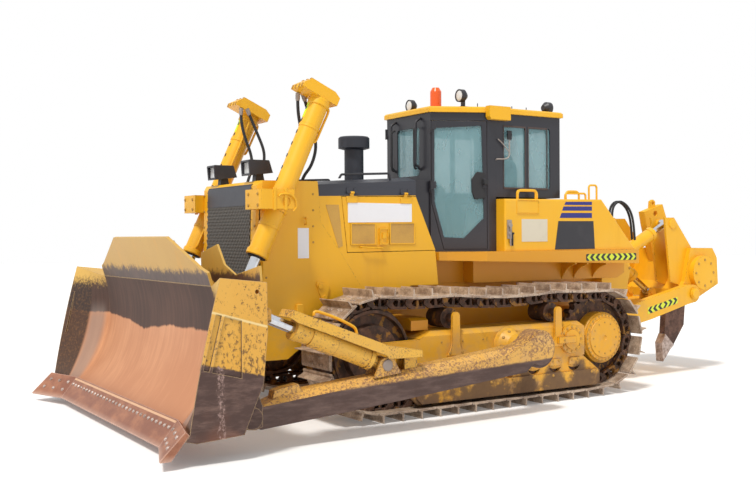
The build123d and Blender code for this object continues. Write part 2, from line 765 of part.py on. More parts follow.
def shoulder(x):
    """Height of the hood's sloping shoulder under the rail."""
    return hood_edge(x) + hood_crown * (hood_half - rail_y + rail_bar) / (hood_half - hood_crown_half)


with BuildPart() as hood_rails:
    foot = shoulder(2478) + fit
    with BuildLine(side(rail_y)):
        FilletPolyline((2478, foot), (2495, 2478), (3077, 2451), (3125, shoulder(3125) + fit), radius=24)
    with BuildSketch(Plane(origin=(axle_x + 2478, rail_y, foot), z_dir=(17, 0, 2478 - foot))):
        Circle(rail_bar)
    sweep()
    with BuildSketch(level(2000)):
        with Locations((2800, rail_y)):
            Rectangle(900, 60)
    extrude(amount=shoulder(2478) + fit - 2000, mode=Mode.SUBTRACT)
    mirror(about=Plane.XZ)

# Front lamps: boxes on feet on the radiator guard, hollow at the lens
lamp_rear = 3796
lamp_face = 4060
lamp_floor = 2422
lamp_top = 2577
lamp_y = 430
lamp_half = 98
lamp_wall = 20
lamp_depth = 60


def lamp_seat(x):
    """Height of the guard's roof under a lamp's foot, with the fit."""
    return guard_roof - guard_fall * (x - hood_front) / (3990 - hood_front) + fit


with BuildPart() as head_lamps:
    add(plate(((lamp_rear, lamp_floor + 30), (lamp_face - 14, lamp_floor), (lamp_face, lamp_top),
               (lamp_rear + 40, lamp_top)), lamp_y + lamp_half, 2 * lamp_half))
    top_edges = head_lamps.edges().filter_by(Axis.X, reverse=True).filter_by(Axis.Z, reverse=True)
    fillet(top_edges.sort_by(Axis.Z)[-2:], 12)
    add(plate(((lamp_face - lamp_depth, lamp_floor + lamp_wall), (lamp_face + 1, lamp_floor + lamp_wall),
               (lamp_face + 1, lamp_top - lamp_wall), (lamp_face - lamp_depth, lamp_top - lamp_wall)),
              lamp_y + lamp_half - lamp_wall, 2 * (lamp_half - lamp_wall)), mode=Mode.SUBTRACT)
    add(plate(((3860, lamp_seat(3860)), (3960, lamp_seat(3960)), (3950, lamp_floor + 40),
               (3880, lamp_floor + 40)), lamp_y + 40, 80))
    mirror(about=Plane.XZ)
head_lamps.part.label = "head_lamps"
export_step(head_lamps.part, "parts/head_lamps.step")

# Cowl between the hood and the cab
with BuildPart() as cowl:
    add(plate(((cab_front + fit, deck_top + fit), (cab_front + fit, cowl_top), (2194, cowl_top), (2194, 2240),
               (1937, 1664), (1934, deck_top + fit)), cab_front_half - 20, 2 * cab_front_half - 40))
cowl.part.label = "cowl"
export_step(cowl.part, "parts/cowl.step")

# Cab: six-sided plan above the tanks, narrower between them, with doors in the slanted front corners
upper_plan = ((cab_front, cab_front_half), (cab_corner, cab_corner_half), (cab_side, cab_half), (cab_rear, cab_half))
lower_plan = ((cab_front, cab_front_half), (cab_corner, cab_corner_half), (tank_front + panel_gap, cab_corner_half + 6),
              (tank_front + panel_gap, cab_low_half), (cab_rear, cab_low_half))


def whole_plan(half):
    return (*half, *((x, -y) for x, y in reversed(half)))


door_run = distance((cab_front, cab_front_half), (cab_corner, cab_corner_half))
door_along = ((cab_corner - cab_front) / door_run, (cab_corner_half - cab_front_half) / door_run)
door_face = Plane(origin=(axle_x + cab_front, cab_front_half, 0), x_dir=(*door_along, 0),
                  z_dir=(door_along[1], -door_along[0], 0))
# distance from the front corner, height
cab_door_outline = ((12, 3095), (640, 3095), (640, 1668), (150, 1668), (12, 2187))
door_pane_outline = ((44, 3014), (582, 3044), (606, 2014), (379, 1790), (150, 1800), (44, 2200))
cab_hinge_zs = (2300, 2960)
cab_hinge_u = 3
cab_hinge_out = 15
cab_hinge_length = 120
# front x, rear x, floor, roof of each side window
side_windows = ((1006, 678, 2342, 3062), (636, 300, 2342, 3062))
front_window = (225, 2496, 3042)
rear_window = (520, 2360, 3050)

def door_board(outline, grow, out, depth):
    """Board parallel to the left door: outline of (distance from the corner, height), from out inward."""
    with BuildPart() as part:
        with BuildSketch(door_face.offset(out)):
            with BuildLine():
                Polyline(*outline, close=True)
            make_face()
            if grow:
                offset(amount=grow, kind=Kind.INTERSECTION, mode=Mode.REPLACE)
        extrude(amount=-depth)
    return part.part


def door_post(z, length, radius):
    """Upright round bar on the left cab door's hinge line."""
    x = cab_front + cab_hinge_u * door_along[0] + cab_hinge_out * door_along[1]
    y = cab_front_half + cab_hinge_u * door_along[1] - cab_hinge_out * door_along[0]
    with BuildPart() as part:
        with BuildSketch(level(z)):
            with Locations((x, y)):
                Circle(radius)
        extrude(amount=length)
    return part.part


with BuildPart() as cab_shell:
    with BuildSketch(level(deck_top)):
        with BuildLine():
            Polyline(*whole_plan(lower_plan), close=True)
        make_face()
    extrude(amount=cab_ledge - deck_top)
    with BuildSketch(level(cab_ledge)):
        with BuildLine():
            Polyline(*whole_plan(upper_plan), close=True)
        make_face()
    extrude(amount=cab_roof_z - cab_ledge)
    with BuildSketch(level(deck_top + cab_wall)):
        with BuildLine():
            Polyline(*whole_plan(lower_plan), close=True)
        make_face()
        offset(amount=-cab_wall, kind=Kind.INTERSECTION, mode=Mode.REPLACE)
    extrude(amount=cab_ledge - deck_top, mode=Mode.SUBTRACT)
    with BuildSketch(level(cab_ledge + cab_wall)):
        with BuildLine():
            Polyline(*whole_plan(upper_plan), close=True)
        make_face()
        offset(amount=-cab_wall, kind=Kind.INTERSECTION, mode=Mode.REPLACE)
    extrude(amount=cab_roof_z - cab_ledge - cab_wall, mode=Mode.SUBTRACT)
    with BuildSketch(across(cab_front - cab_wall - 5)):
        half, floor_z, roof_z = front_window
        with Locations((0, (floor_z + roof_z) / 2)):
            RectangleRounded(2 * half, roof_z - floor_z, 40)
    extrude(amount=cab_wall + 10, mode=Mode.SUBTRACT)
    with BuildSketch(across(cab_rear - 5)):
        half, floor_z, roof_z = rear_window
        with Locations((0, (floor_z + roof_z) / 2)):
            RectangleRounded(2 * half, roof_z - floor_z, 60)
    extrude(amount=cab_wall + 10, mode=Mode.SUBTRACT)
    with BuildSketch(side(cab_half + 5)):
        for front_x, rear_x, floor_z, roof_z in side_windows:
            with Locations(((front_x + rear_x) / 2, (floor_z + roof_z) / 2)):
                RectangleRounded(front_x - rear_x, roof_z - floor_z, 50)
    extrude(amount=2 * cab_half + 10, mode=Mode.SUBTRACT)
    for z in cab_hinge_zs:
        hinge_block = ((-14, z), (cab_hinge_u, z), (cab_hinge_u, z + 38), (-14, z + 38))
        add(door_board(hinge_block, 0, cab_hinge_out, cab_hinge_out + 8))
        add(door_post(z, 38, hinge_barrel))
        add(door_post(z, cab_hinge_length, hinge_pin))
    split(bisect_by=Plane.XZ, keep=Keep.BOTTOM)
    add(door_board(cab_door_outline, panel_gap, cab_hinge_out + 20, cab_wall + 60), mode=Mode.SUBTRACT)
    mirror(about=Plane.XZ)
cab_shell.part.label = "cab_shell"
export_step(cab_shell.part, "parts/cab_shell.step")

# Cab doors: framed plates with a window, a latch cover at the rear edge and a knuckle over each hinge pin
with BuildPart() as left_door:
    add(door_board(cab_door_outline, 0, 0, cab_wall))
    add(door_board(door_pane_outline, 0, 5, cab_wall + 10), mode=Mode.SUBTRACT)
    for z in cab_hinge_zs:
        base = z + 38 + 2
        rise = cab_hinge_length - 40
        hinge_block = ((cab_hinge_u, base), (60, base), (60, base + rise), (cab_hinge_u, base + rise))
        add(door_board(hinge_block, 0, cab_hinge_out, cab_hinge_out))
        add(door_post(base, rise, hinge_barrel))
        add(door_post(base - 1, rise + 2, hinge_pin + fit), mode=Mode.SUBTRACT)
    add(door_board(((590, 2350), (634, 2350), (634, 2460), (590, 2460)), 0, 26, 26))
left_door.part.label = "left_door"
export_step(left_door.part, "parts/left_door.step")

with BuildPart() as right_door:
    mirror(left_door.part, about=Plane.XZ)
right_door.part.label = "right_door"
export_step(right_door.part, "parts/right_door.step")

with BuildPart() as left_door_glass:
    add(door_board(door_pane_outline, -fit, glass_plate / 2 - cab_wall / 2, glass_plate))
left_door_glass.part.label = "left_door_glass"
export_step(left_door_glass.part, "parts/left_door_glass.step")

with BuildPart() as right_door_glass:
    mirror(left_door_glass.part, about=Plane.XZ)
right_door_glass.part.label = "right_door_glass"
export_step(right_door_glass.part, "parts/right_door_glass.step")

# Fixed cab glass: front, rear and side panes in the middle of the walls
pane_inset = (cab_wall - glass_plate) / 2
with BuildPart() as cab_glass:
    with BuildSketch(across(cab_front - cab_wall + pane_inset)):
        half, floor_z, roof_z = front_window
        with Locations((0, (floor_z + roof_z) / 2)):
            RectangleRounded(2 * (half - fit), roof_z - floor_z - 2 * fit, 40)
    extrude(amount=glass_plate)
    with BuildSketch(across(cab_rear + pane_inset)):
        half, floor_z, roof_z = rear_window
        with Locations((0, (floor_z + roof_z) / 2)):
            RectangleRounded(2 * (half - fit), roof_z - floor_z - 2 * fit, 60)
    extrude(amount=glass_plate)
    for outer_y in (cab_half - pane_inset, pane_inset + glass_plate - cab_half):
        with BuildSketch(side(outer_y)):
            for front_x, rear_x, floor_z, roof_z in side_windows:
                with Locations(((front_x + rear_x) / 2, (floor_z + roof_z) / 2)):
                    RectangleRounded(front_x - rear_x - 2 * fit, roof_z - floor_z - 2 * fit, 50)
        extrude(amount=glass_plate)
cab_glass.part.label = "cab_glass"
export_step(cab_glass.part, "parts/cab_glass.step")

# Cab roof with a raised panel between its lamps and an air intake box on each side
roof_panel_front = 1180
roof_panel_rear = 420
roof_panel_half = 330
roof_panel_rise = 10
with BuildPart() as cab_roof:
    with BuildSketch(level(cab_roof_z)):
        with BuildLine():
            Polyline(*whole_plan(upper_plan), close=True)
        make_face()
        offset(amount=roof_overhang, kind=Kind.INTERSECTION, mode=Mode.REPLACE)
    extrude(amount=roof_plate)
    chamfer(cab_roof.faces().sort_by(Axis.Z)[-1].edges(), 18)
    with BuildSketch(level(cab_roof_z + roof_plate)):
        with Locations(((roof_panel_front + roof_panel_rear) / 2, 0)):
            Rectangle(roof_panel_front - roof_panel_rear, 2 * roof_panel_half)
    extrude(amount=roof_panel_rise)
    add(plate(((955, 3110), (1235, 3110), (1257, 3140), (1257, 3262), (955, 3262)), 796, 796 - cab_half - 1))
    mirror(about=Plane.XZ)
cab_roof.part.label = "cab_roof"
export_step(cab_roof.part, "parts/cab_roof.step")

# Operator seat: pedestal, cushion and backrest
floor_z = deck_top + cab_wall
with BuildPart() as seat_base:
    with BuildSketch(level(floor_z + fit)):
        with Locations((700, 0)):
            RectangleRounded(420, 380, 30)
    extrude(amount=360, taper=6)
seat_base.part.label = "seat_base"
export_step(seat_base.part, "parts/seat_base.step")

seat_z = floor_z + 360 + 2 * fit
with BuildPart() as operator_seat:
    add(plate(((470, seat_z), (960, seat_z), (980, seat_z + 90), (960, seat_z + 140), (560, seat_z + 120),
               (440, seat_z + 760), (320, seat_z + 760), (420, seat_z + 60)), 260, 520))
    fillet(operator_seat.edges().filter_by(Axis.Y, reverse=True), 24)
operator_seat.part.label = "operator_seat"
export_step(operator_seat.part, "parts/operator_seat.step")

# Console: dash across the front and a control box on each side of the seat
with BuildPart() as control_console:
    add(plate(((1500, floor_z + fit), (1740, floor_z + fit), (1740, 2380), (1640, 2420), (1540, 2340)), 330, 660))
    add(plate(((480, floor_z + fit), (960, floor_z + fit), (980, 2260), (900, 2330), (520, 2300)), 420, 110))
    add(plate(((480, floor_z + fit), (960, floor_z + fit), (980, 2260), (900, 2330), (520, 2300)), -310, 110))
control_console.part.label = "control_console"
export_step(control_console.part, "parts/control_console.step")

# Beacon and work lamps on the roof
roof_top = cab_roof_z + roof_plate
with BuildPart() as beacon:
    with BuildSketch(across(1493)):
        with BuildLine():
            Polyline((100, roof_top + fit), (190, roof_top + fit), (190, 3304), (165, 3310), (165, 3480),
                     (140, 3525), (100, 3525), close=True)
        make_face()
    revolve(axis=Axis((axle_x + 1493, 100, 0), (0, 0, 1)))
beacon.part.label = "beacon"
export_step(beacon.part, "parts/beacon.step")

# lamp centre x, half distance between the pair, height, facing
work_lamp_table = ((1404, 500, 3390, 1), (171, 500, 3333, -1))
with BuildPart() as work_lamps:
    for x, y, z, facing in work_lamp_table:
        with BuildSketch(side(y)):
            with BuildLine():
                Polyline((x - facing * 42, z), (x - facing * 42, z + 34), (x, z + 72), (x + facing * 60, z + 72),
                         (x + facing * 60, z + 62), (x + facing * 48, z + 62), (x + facing * 48, z), close=True)
            make_face()
        revolve(axis=Axis((axle_x, y, z), (1, 0, 0)))
        with BuildSketch(across(x - 20)):
            with Locations((y, (z + roof_top) / 2)):
                Rectangle(30, z - roof_top)
        extrude(amount=40)
        with BuildSketch(level(roof_top + fit)):
            with Locations((x, y)):
                Rectangle(110, 90)
        extrude(amount=14)
    with BuildSketch(across(0)):
        with Locations((0, roof_top + fit - 50)):
            Rectangle(1400, 100)
    extrude(amount=2000, mode=Mode.SUBTRACT)
    mirror(about=Plane.XZ)
work_lamps.part.label = "work_lamps"
export_step(work_lamps.part, "parts/work_lamps.step")

# Grab handles on the cab's front pillars
with BuildPart() as cab_handles:
    handle_y = 252
    with BuildLine(side(handle_y)):
        FilletPolyline((cab_front + fit, 3140), (1880, 3100), (1886, 2620), (cab_front + fit, 2560), radius=40)
    with BuildSketch(Plane(origin=(axle_x + cab_front + fit, handle_y, 3140),
                           z_dir=(1880 - cab_front - fit, 0, -40))):
        Circle(13)
    sweep()
    with BuildSketch(side(handle_y + 20)):
        with Locations((cab_front - 50 + fit, 2850)):
            Rectangle(100, 800)
    extrude(amount=40, mode=Mode.SUBTRACT)
    mirror(about=Plane.XZ)

# All hand holds on the tractor
with BuildPart() as grab_rails:
    add(tank_handles.part)
    add(hood_rails.part)
    add(cab_handles.part)
grab_rails.part.label = "grab_rails"
export_step(grab_rails.part, "parts/grab_rails.step")

# Trunnions: stub shafts on the track frames that carry the push arms
with BuildPart() as arm_trunnions:
    with BuildSketch(across(trunnion_x)):
        with BuildLine():
            Polyline((frame_outer, trunnion_z), (frame_outer, trunnion_z + 185), (frame_outer + 60, trunnion_z + 175),
                     (frame_outer + 150, trunnion_z + 120), (arm_inner - 20, trunnion_z + 105),
                     (arm_inner - 20, trunnion_z + trunnion_radius),
                     (arm_outer - 45, trunnion_z + trunnion_radius), (arm_outer - 45, trunnion_z), close=True)
        make_face()
    revolve(axis=Axis((axle_x + trunnion_x, 0, trunnion_z), (0, 1, 0)))
    mirror(about=Plane.XZ)
arm_trunnions.part.label = "arm_trunnions"
export_step(arm_trunnions.part, "parts/arm_trunnions.step")

# Push arms: tapered box beams with a socket at the trunnion, an eye at the blade pin
# and a clevis on top for the tilt cylinder
arm_outline = ((1560, 790), (1711, 716), (2711, 614), (3729, 527), (4330, 470), (4620, 375), (4730, 304),
               (4640, 218), (4578, 195), (3714, 262), (3098, 314), (1650, 450), (1500, 560))
arm_width = arm_outer - arm_inner


def arm_deck(x):
    """Height of the arm's top between its corners under the guard, with the fit."""
    (rear, high), (front, low) = arm_outline[2:4]
    return high + (low - high) * (x - rear) / (front - rear) + fit


clevis_outline = ((3150, 560), (3440, 530), (3375, 690), (3330, 712), (3270, 712), (3225, 690))
clevis_inner = eye_half + panel_gap
clevis_plate = 26
with BuildPart() as push_arms:
    add(plate(arm_outline, arm_outer, arm_width))
    upper = push_arms.edges().filter_by(
        lambda edge: edge.center().Y > arm_outer - 1 and edge.center().Z > 440
        and abs(edge.tangent_at(0.5).Z) < 0.3)
    chamfer(upper, 62)
    add(rod(trunnion_x, trunnion_z, 192, arm_outer - 22, arm_inner))
    add(rod(trunnion_x, trunnion_z, 165, arm_outer, arm_outer - 22))
    add(rod(blade_pin_x, blade_pin_z, 88, arm_outer, arm_inner))
    add(plate(((4150, 470), (4197, 544), (4353, 522), (4426, 504), (4450, 410), (4300, 430)),
              arm_outer - 50, arm_width - 100))
    for outer in (tilt_y + clevis_inner + clevis_plate, tilt_y - clevis_inner):
        add(plate(clevis_outline, outer, clevis_plate))
    add(rod(*tilt_foot, 34, tilt_y + clevis_inner + 1, tilt_y - clevis_inner - 1))
    add(rod(trunnion_x, trunnion_z, trunnion_radius + fit, arm_outer - 44, arm_inner - 1), mode=Mode.SUBTRACT)
    add(rod(blade_pin_x, blade_pin_z, blade_pin_radius + fit, arm_outer + 1, arm_inner - 1), mode=Mode.SUBTRACT)
    mirror(about=Plane.XZ)
push_arms.part.label = "push_arms"
export_step(push_arms.part, "parts/push_arms.step")

# Tilt cylinder guards: bent plates over the cylinders with a flange on the outer side, standing on the arms
guard_sheet = 16
guard_side = 24
guard_feet = ((2951, arm_deck(2951)), (3080, arm_deck(3080)), (3080, 700), (3060, 764), (2951, 742))
with BuildPart() as tilt_guards:
    add(plate(((2935, arm_deck(2935)), (2951, arm_deck(2951)), (2951, 742), (3290, 800), (4262, 1170), (4290, 1120),
               (4306, 1126), (4268, 1190), (3284, 816), (2935, 757)), arm_outer + guard_side - 90,
              arm_width + guard_side - 82))
    add(plate(((2935, arm_deck(2935) + 100), (3300, 700), (3330, 735), (4235, 1080), (4306, 1126), (4268, 1190),
               (3284, 816), (2935, 757)), arm_outer + guard_side, guard_sheet))
    add(plate(((2935, 740), (3290, 800), (4262, 1170), (4290, 1120), (4306, 1126), (4268, 1190), (3284, 816),
               (2935, 757)), arm_outer + guard_side, 90))
    for outer in (arm_outer - 62, arm_inner + 18):
        add(plate(guard_feet, outer, 18))
    mirror(about=Plane.XZ)
tilt_guards.part.label = "tilt_guards"
export_step(tilt_guards.part, "parts/tilt_guards.step")


# Hydraulic cylinders: a tube on the line from foot to eye, and the rod that slides in it
def tube_part(foot, eye, y, radius, rod_radius, start, gland, bore_start, neck):
    """Tube with an end band and a gland collar; start, gland and bore_start lie along the line."""
    line = along(foot, eye, y)
    with BuildPart() as part:
        with BuildSketch(line.offset(start)):
            Circle(radius)
        extrude(amount=gland - start)
        with BuildSketch(line.offset(start)):
            Circle(radius + 7)
        extrude(amount=45)
        with BuildSketch(line.offset(gland - 60)):
            Circle(radius + 7)
        extrude(amount=60)
        if neck:
            with BuildSketch(line):
                Circle(neck)
            extrude(amount=start)
        with BuildSketch(line.offset(bore_start)):
            Circle(rod_radius + fit)
        extrude(amount=gland - bore_start + 1, mode=Mode.SUBTRACT)
    return part.part


def rod_part(foot, eye, y, rod_radius, rod_start, eye_radius, eye_bore):
    """Chrome rod from rod_start along the line to an eye across its end."""
    line = along(foot, eye, y)
    with BuildPart() as part:
        with BuildSketch(line.offset(rod_start)):
            Circle(rod_radius)
        extrude(amount=distance(foot, eye) - rod_start)
        add(rod(*eye, eye_radius, y + eye_half, y - eye_half))
        add(rod(*eye, eye_bore, y + eye_half + 1, y - eye_half - 1), mode=Mode.SUBTRACT)
    return part.part


lift_head = -1119
lift_gland = 572
yoke_inner = 925
yoke_outer = 975
lift_run = distance(lift_foot, lift_eye)
lift_down = ((lift_eye[0] - lift_foot[0]) / lift_run, (lift_eye[1] - lift_foot[1]) / lift_run)


def beside_lift(reach, out):
    """Point (x, z) at a reach along the lift cylinder's line from its trunnion, and out ahead of the line."""
    return (lift_foot[0] + reach * lift_down[0] - out * lift_down[1],
            lift_foot[1] + reach * lift_down[1] + out * lift_down[0])


head_block = ((0, -150), (0, 265), (-45, 265), (-120, 200), (-120, -80), (-85, -150))
with BuildPart() as lift_tubes:
    add(tube_part(lift_foot, lift_eye, lift_y, lift_tube_radius, lift_rod_radius, lift_head, lift_gland, 2000, 0))
    add(plate([beside_lift(lift_head + reach, out) for reach, out in head_block], lift_y + 95, 260))
    add(rod(*lift_foot, trunnion_pin_radius, yoke_outer - 8, hood_half - sheet + 2))
    lift_line = along(lift_foot, lift_eye, lift_y)
    with BuildSketch(lift_line.offset(-95)):
        Circle(lift_tube_radius + 8)
    extrude(amount=190)
    with BuildSketch(lift_line.offset(lift_head + 150)):
        Circle(lift_rod_radius + fit)
    extrude(amount=lift_gland - lift_head, mode=Mode.SUBTRACT)
    mirror(about=Plane.XZ)
lift_tubes.part.label = "lift_tubes"
export_step(lift_tubes.part, "parts/lift_tubes.step")

with BuildPart() as lift_rods:
    add(rod_part(lift_foot, lift_eye, lift_y, lift_rod_radius, 0, 66, 42))
    mirror(about=Plane.XZ)
lift_rods.part.label = "lift_rods"
export_step(lift_rods.part, "parts/lift_rods.step")

# Lift yokes: wrap round the guard's front bevels and hold the cylinders' outer trunnion pins
with BuildPart() as lift_yokes:
    with BuildSketch(level(2080)):
        with BuildLine():
            Polyline((4046, 647.3), (3997, 699), (4082, 708), (4082, yoke_inner), (3790, yoke_inner),
                     (3790, yoke_outer), (4140, yoke_outer), (4150, 940), (4150, 640), close=True)
        make_face()
    extrude(amount=190)
    add(rod(*lift_foot, trunnion_pin_radius + fit, yoke_outer + 1, yoke_inner - 1), mode=Mode.SUBTRACT)
    mirror(about=Plane.XZ)
lift_yokes.part.label = "lift_yokes"
export_step(lift_yokes.part, "parts/lift_yokes.step")

with BuildPart() as tilt_tubes:
    add(tube_part(tilt_foot, tilt_eye, tilt_y, tilt_tube_radius, tilt_rod_radius, 150, 1001, 180, 50))
    with BuildSketch(along(tilt_foot, tilt_eye, tilt_y).offset(560)):
        Circle(tilt_tube_radius + 9)
        Circle(tilt_tube_radius - 5, mode=Mode.SUBTRACT)
    extrude(amount=270)
    add(rod(*tilt_foot, 62, tilt_y + eye_half, tilt_y - eye_half))
    add(rod(*tilt_foot, 34 + fit, tilt_y + eye_half + 1, tilt_y - eye_half - 1), mode=Mode.SUBTRACT)
    mirror(about=Plane.XZ)
tilt_tubes.part.label = "tilt_tubes"
export_step(tilt_tubes.part, "parts/tilt_tubes.step")

with BuildPart() as tilt_rods:
    add(rod_part(tilt_foot, tilt_eye, tilt_y, tilt_rod_radius, 480, 60, 38))
    mirror(about=Plane.XZ)
tilt_rods.part.label = "tilt_rods"
export_step(tilt_rods.part, "parts/tilt_rods.step")

# Blade: closed box behind a curved front, wings swept forward, brackets on its back
blade_back = ((4820, 213), (4645, 614), (4606, 1032))
lip_slope = -1.26


def blade_profile(top, bow, lip, back_top):
    """Edges of a blade section: front arc from top through bow to lip, short lip, and the common back."""
    Polyline(lip, (lip[0] + 40, lip[1] + 40 * lip_slope), (lip[0] - 60, lip[1] - 75), *blade_back, back_top, top)
    ThreePointArc(top, bow, lip)


# pockets in each wing's outer side: a slot behind its front edge, and a wide one between its ribs
wing_pockets = (((5060, 1203), (5170, 760), (5122, 748), (5012, 1190)),
                ((4986, 1184), (5096, 741), (4840, 674), (4840, 1142)))
pocket_depth = 60
centre_section = ((4873, 1398), (4855, 750), (5150, 262), (4610, 1398))
wing_section = ((5026, 1492), (5150, 990), (5290, 262), (4610, 1446))
with BuildPart() as moldboard:
    with BuildSketch(side(centre_half)):
        with BuildLine():
            blade_profile(*centre_section)
        make_face()
    extrude(amount=centre_half)
    for y, section in ((wing_half, wing_section), (centre_half, centre_section)):
        with BuildSketch(side(y)):
            with BuildLine():
                blade_profile(*section)
            make_face()
    loft(ruled=True)
    for outer in (arm_outer + panel_gap + 30, arm_inner - panel_gap):
        add(plate(((4578, 230), (4640, 205), (4850, 230), (4850, 330), (4730, 560), (4640, 560), (4578, 400)),
                  outer, 30))
    add(rod(blade_pin_x, blade_pin_z, 92, arm_outer + panel_gap + 40, arm_outer + panel_gap + 30))
    add(rod(blade_pin_x, blade_pin_z, blade_pin_radius, arm_outer + panel_gap + 5, arm_inner - panel_gap - 5))
    for pocket in wing_pockets:
        add(plate(pocket, wing_half, pocket_depth), mode=Mode.SUBTRACT)
    add(rod(4700, 1370, 18, wing_half, wing_half - pocket_depth), mode=Mode.SUBTRACT)
    for middle, plate_outline in ((lift_y, ((4478, 650), (4478, 760), (4540, 820), (4740, 850), (4740, 560),
                                            (4540, 590))),
                                  (tilt_y, ((4468, 1100), (4468, 1200), (4530, 1245), (4700, 1260),
                                            (4700, 1030), (4540, 1055)))):
        for outer in (middle + clevis_inner + clevis_plate, middle - clevis_inner):
            add(plate(plate_outline, outer, clevis_plate))
    for x, z, middle, radius in ((*lift_eye, lift_y, 52), (*tilt_eye, tilt_y, 46)):
        for outer in (middle + clevis_inner + clevis_plate + 12, middle - clevis_inner - clevis_plate):
            add(rod(x, z, radius, outer, outer - 12))
    add(plate(((4560, 590), (4560, 820), (4705, 820), (4705, 590)), lift_y + clevis_inner, 2 * clevis_inner),
        mode=Mode.SUBTRACT)
    mirror(about=Plane.XZ)
moldboard.part.label = "moldboard"
export_step(moldboard.part, "parts/moldboard.step")

# Cutting edge along the middle of the blade, lying on its lip
edge_section = ((5150, 262), (5182, 296), (5354, 84), (5344, 74), (5302, 74))
end_section = ((5290, 262), (5322, 296), (front_reach, 84), (front_reach - 10, 74), (5442, 74))
with BuildPart() as cutting_edge:
    add(plate(edge_section, centre_half - fit, 2 * (centre_half - fit)))
cutting_edge.part.label = "cutting_edge"
export_step(cutting_edge.part, "parts/cutting_edge.step")

# End bits: reach forward and outward along the wings
with BuildPart() as end_bits:
    for y, section in ((wing_half, end_section), (centre_half, edge_section)):
        with BuildSketch(side(y)):
            with BuildLine():
                Polyline(*section, close=True)
            make_face()
    loft(ruled=True)
    mirror(about=Plane.XZ)
end_bits.part.label = "end_bits"
export_step(end_bits.part, "parts/end_bits.step")

# Spill guard: plate leaning forward on the blade's top, with shoulders towards the wings
spill_lean = (127, 422)
spill_plate = 28
spill_top = 440
back_plate_x = 4640
back_plate_depth = 20
# plate behind each shoulder of the guard, from its middle ribs out to the wing: y, z
back_plate = ((765, 1398 + fit), (765, 1672), (1136, 1753), (1293, 1575), (1531, 1492), (wing_half - 40, 1580),
              (wing_half - 20, 1452), (centre_half, 1398 + fit + 1))
with BuildPart() as spill_guard:
    with BuildSketch(Plane(origin=(axle_x + 4873, 0, 1398), x_dir=(0, 1, 0),
                           z_dir=(spill_lean[1], 0, -spill_lean[0]))):
        with BuildLine():
            Polyline((spill_half, spill_top), (1383, 154), (centre_half - 20, 118), (centre_half - 20, -20),
                     (20 - centre_half, -20), (20 - centre_half, 118), (-1383, 154), (-spill_half, spill_top),
                     close=True)
        make_face()
    extrude(amount=-spill_plate)
    with BuildSketch(level(1398)):
        with Locations((4870, 0)):
            Rectangle(200, 4000)
    extrude(amount=-60, mode=Mode.SUBTRACT)
    for y in (-1100, -770, -330, 330, 770, 1100):
        tall = 1790 if abs(y) < spill_half + 1 else 1620
        lean = spill_lean[0] / spill_lean[1]
        add(plate(((4660, 1398), (4842, 1398), (4842 + (tall - 1398) * lean, tall),
                   (4806 + (tall - 1398) * lean, tall)), y + 10, 20))
    for hand in (1, -1):
        with BuildSketch(across(back_plate_x)):
            with BuildLine():
                Polyline(*((hand * y, z) for y, z in back_plate), close=True)
            make_face()
        extrude(amount=back_plate_depth)
spill_guard.part.label = "spill_guard"
export_step(spill_guard.part, "parts/spill_guard.step")

# Ripper bracket: casting on the hull's rear with the arms' pivot and clevises for the cylinders
cylinder_ys = (ripper_tilt_y, ripper_lift_y, -ripper_lift_y, -ripper_tilt_y)
foot_clevis = ((-1000, 1250), (-1000, 1460), (-1102, 1464), (-1132, 1620), (-1150, 1636), (-1206, 1636),
               (-1240, 1600), (-1246, 1550), (-1120, 1300))
with BuildPart() as ripper_bracket:
    add(plate(((-620, case_top), (-859, case_top), (hull_rear, case_top + 60), (hull_rear, 1464), (-1096, 1464),
               (-1120, 1400), (-1020, 1000), (-1020, 700), (-940, 640), (-700, 640), (-620, 820)),
              ripper_arm_inner - 10, 2 * (ripper_arm_inner - 10)))
    for y in cylinder_ys:
        for outer in (y + clevis_inner + clevis_plate, y - clevis_inner):
            add(plate(foot_clevis, outer, clevis_plate))
        add(rod(*ripper_foot, 34, y + clevis_inner + 1, y - clevis_inner - 1))
    add(rod(ripper_pin_x, ripper_pin_z, ripper_pin_radius, ripper_arm_outer + 14, -ripper_arm_outer - 14))
    for outer in (ripper_arm_outer + 30, -ripper_arm_outer - 6):
        add(rod(ripper_pin_x, ripper_pin_z, 78, outer, outer - 24))
ripper_bracket.part.label = "ripper_bracket"
export_step(ripper_bracket.part, "parts/ripper_bracket.step")

# Ripper arms: two side beams with a cross plate that carries the lift cylinders' lugs
arm_plate = ripper_arm_outer - ripper_arm_inner
lug_outline = ((-1830, 930), (-1970, 930), (-1960, 1080), (-1930, 1110), (-1870, 1110), (-1840, 1080))
with BuildPart() as ripper_arms:
    for outer in (ripper_arm_outer, -ripper_arm_inner):
        add(plate(((-900, 885), (-1206, 984), (-2048, 1160), (-2168, 1160), (-2168, 930), (-2058, 913),
                   (-1381, 752), (-900, 665)), outer, arm_plate))
        add(rod(ripper_pin_x, ripper_pin_z, 110, outer, outer - arm_plate))
        add(rod(beam_pin_x, beam_pin_z, 115, outer, outer - arm_plate))
    add(plate(((-1480, 800), (-1480, 885), (-1960, 985), (-1960, 900)), ripper_arm_inner, 2 * ripper_arm_inner))
    for y in (ripper_lift_y, -ripper_lift_y):
        for outer in (y + clevis_inner + clevis_plate, y - clevis_inner):
            add(plate(lug_outline, outer, clevis_plate))
        for outer in (y + clevis_inner + clevis_plate + 12, y - clevis_inner - clevis_plate):
            add(rod(*arm_lug, 44, outer, outer - 12))
    add(rod(ripper_pin_x, ripper_pin_z, ripper_pin_radius + fit, ripper_arm_outer + 1, -ripper_arm_outer - 1),
        mode=Mode.SUBTRACT)
    add(rod(beam_pin_x, beam_pin_z, ripper_pin_radius + fit, ripper_arm_outer + 1, -ripper_arm_outer - 1),
        mode=Mode.SUBTRACT)
ripper_arms.part.label = "ripper_arms"
export_step(ripper_arms.part, "parts/ripper_arms.step")

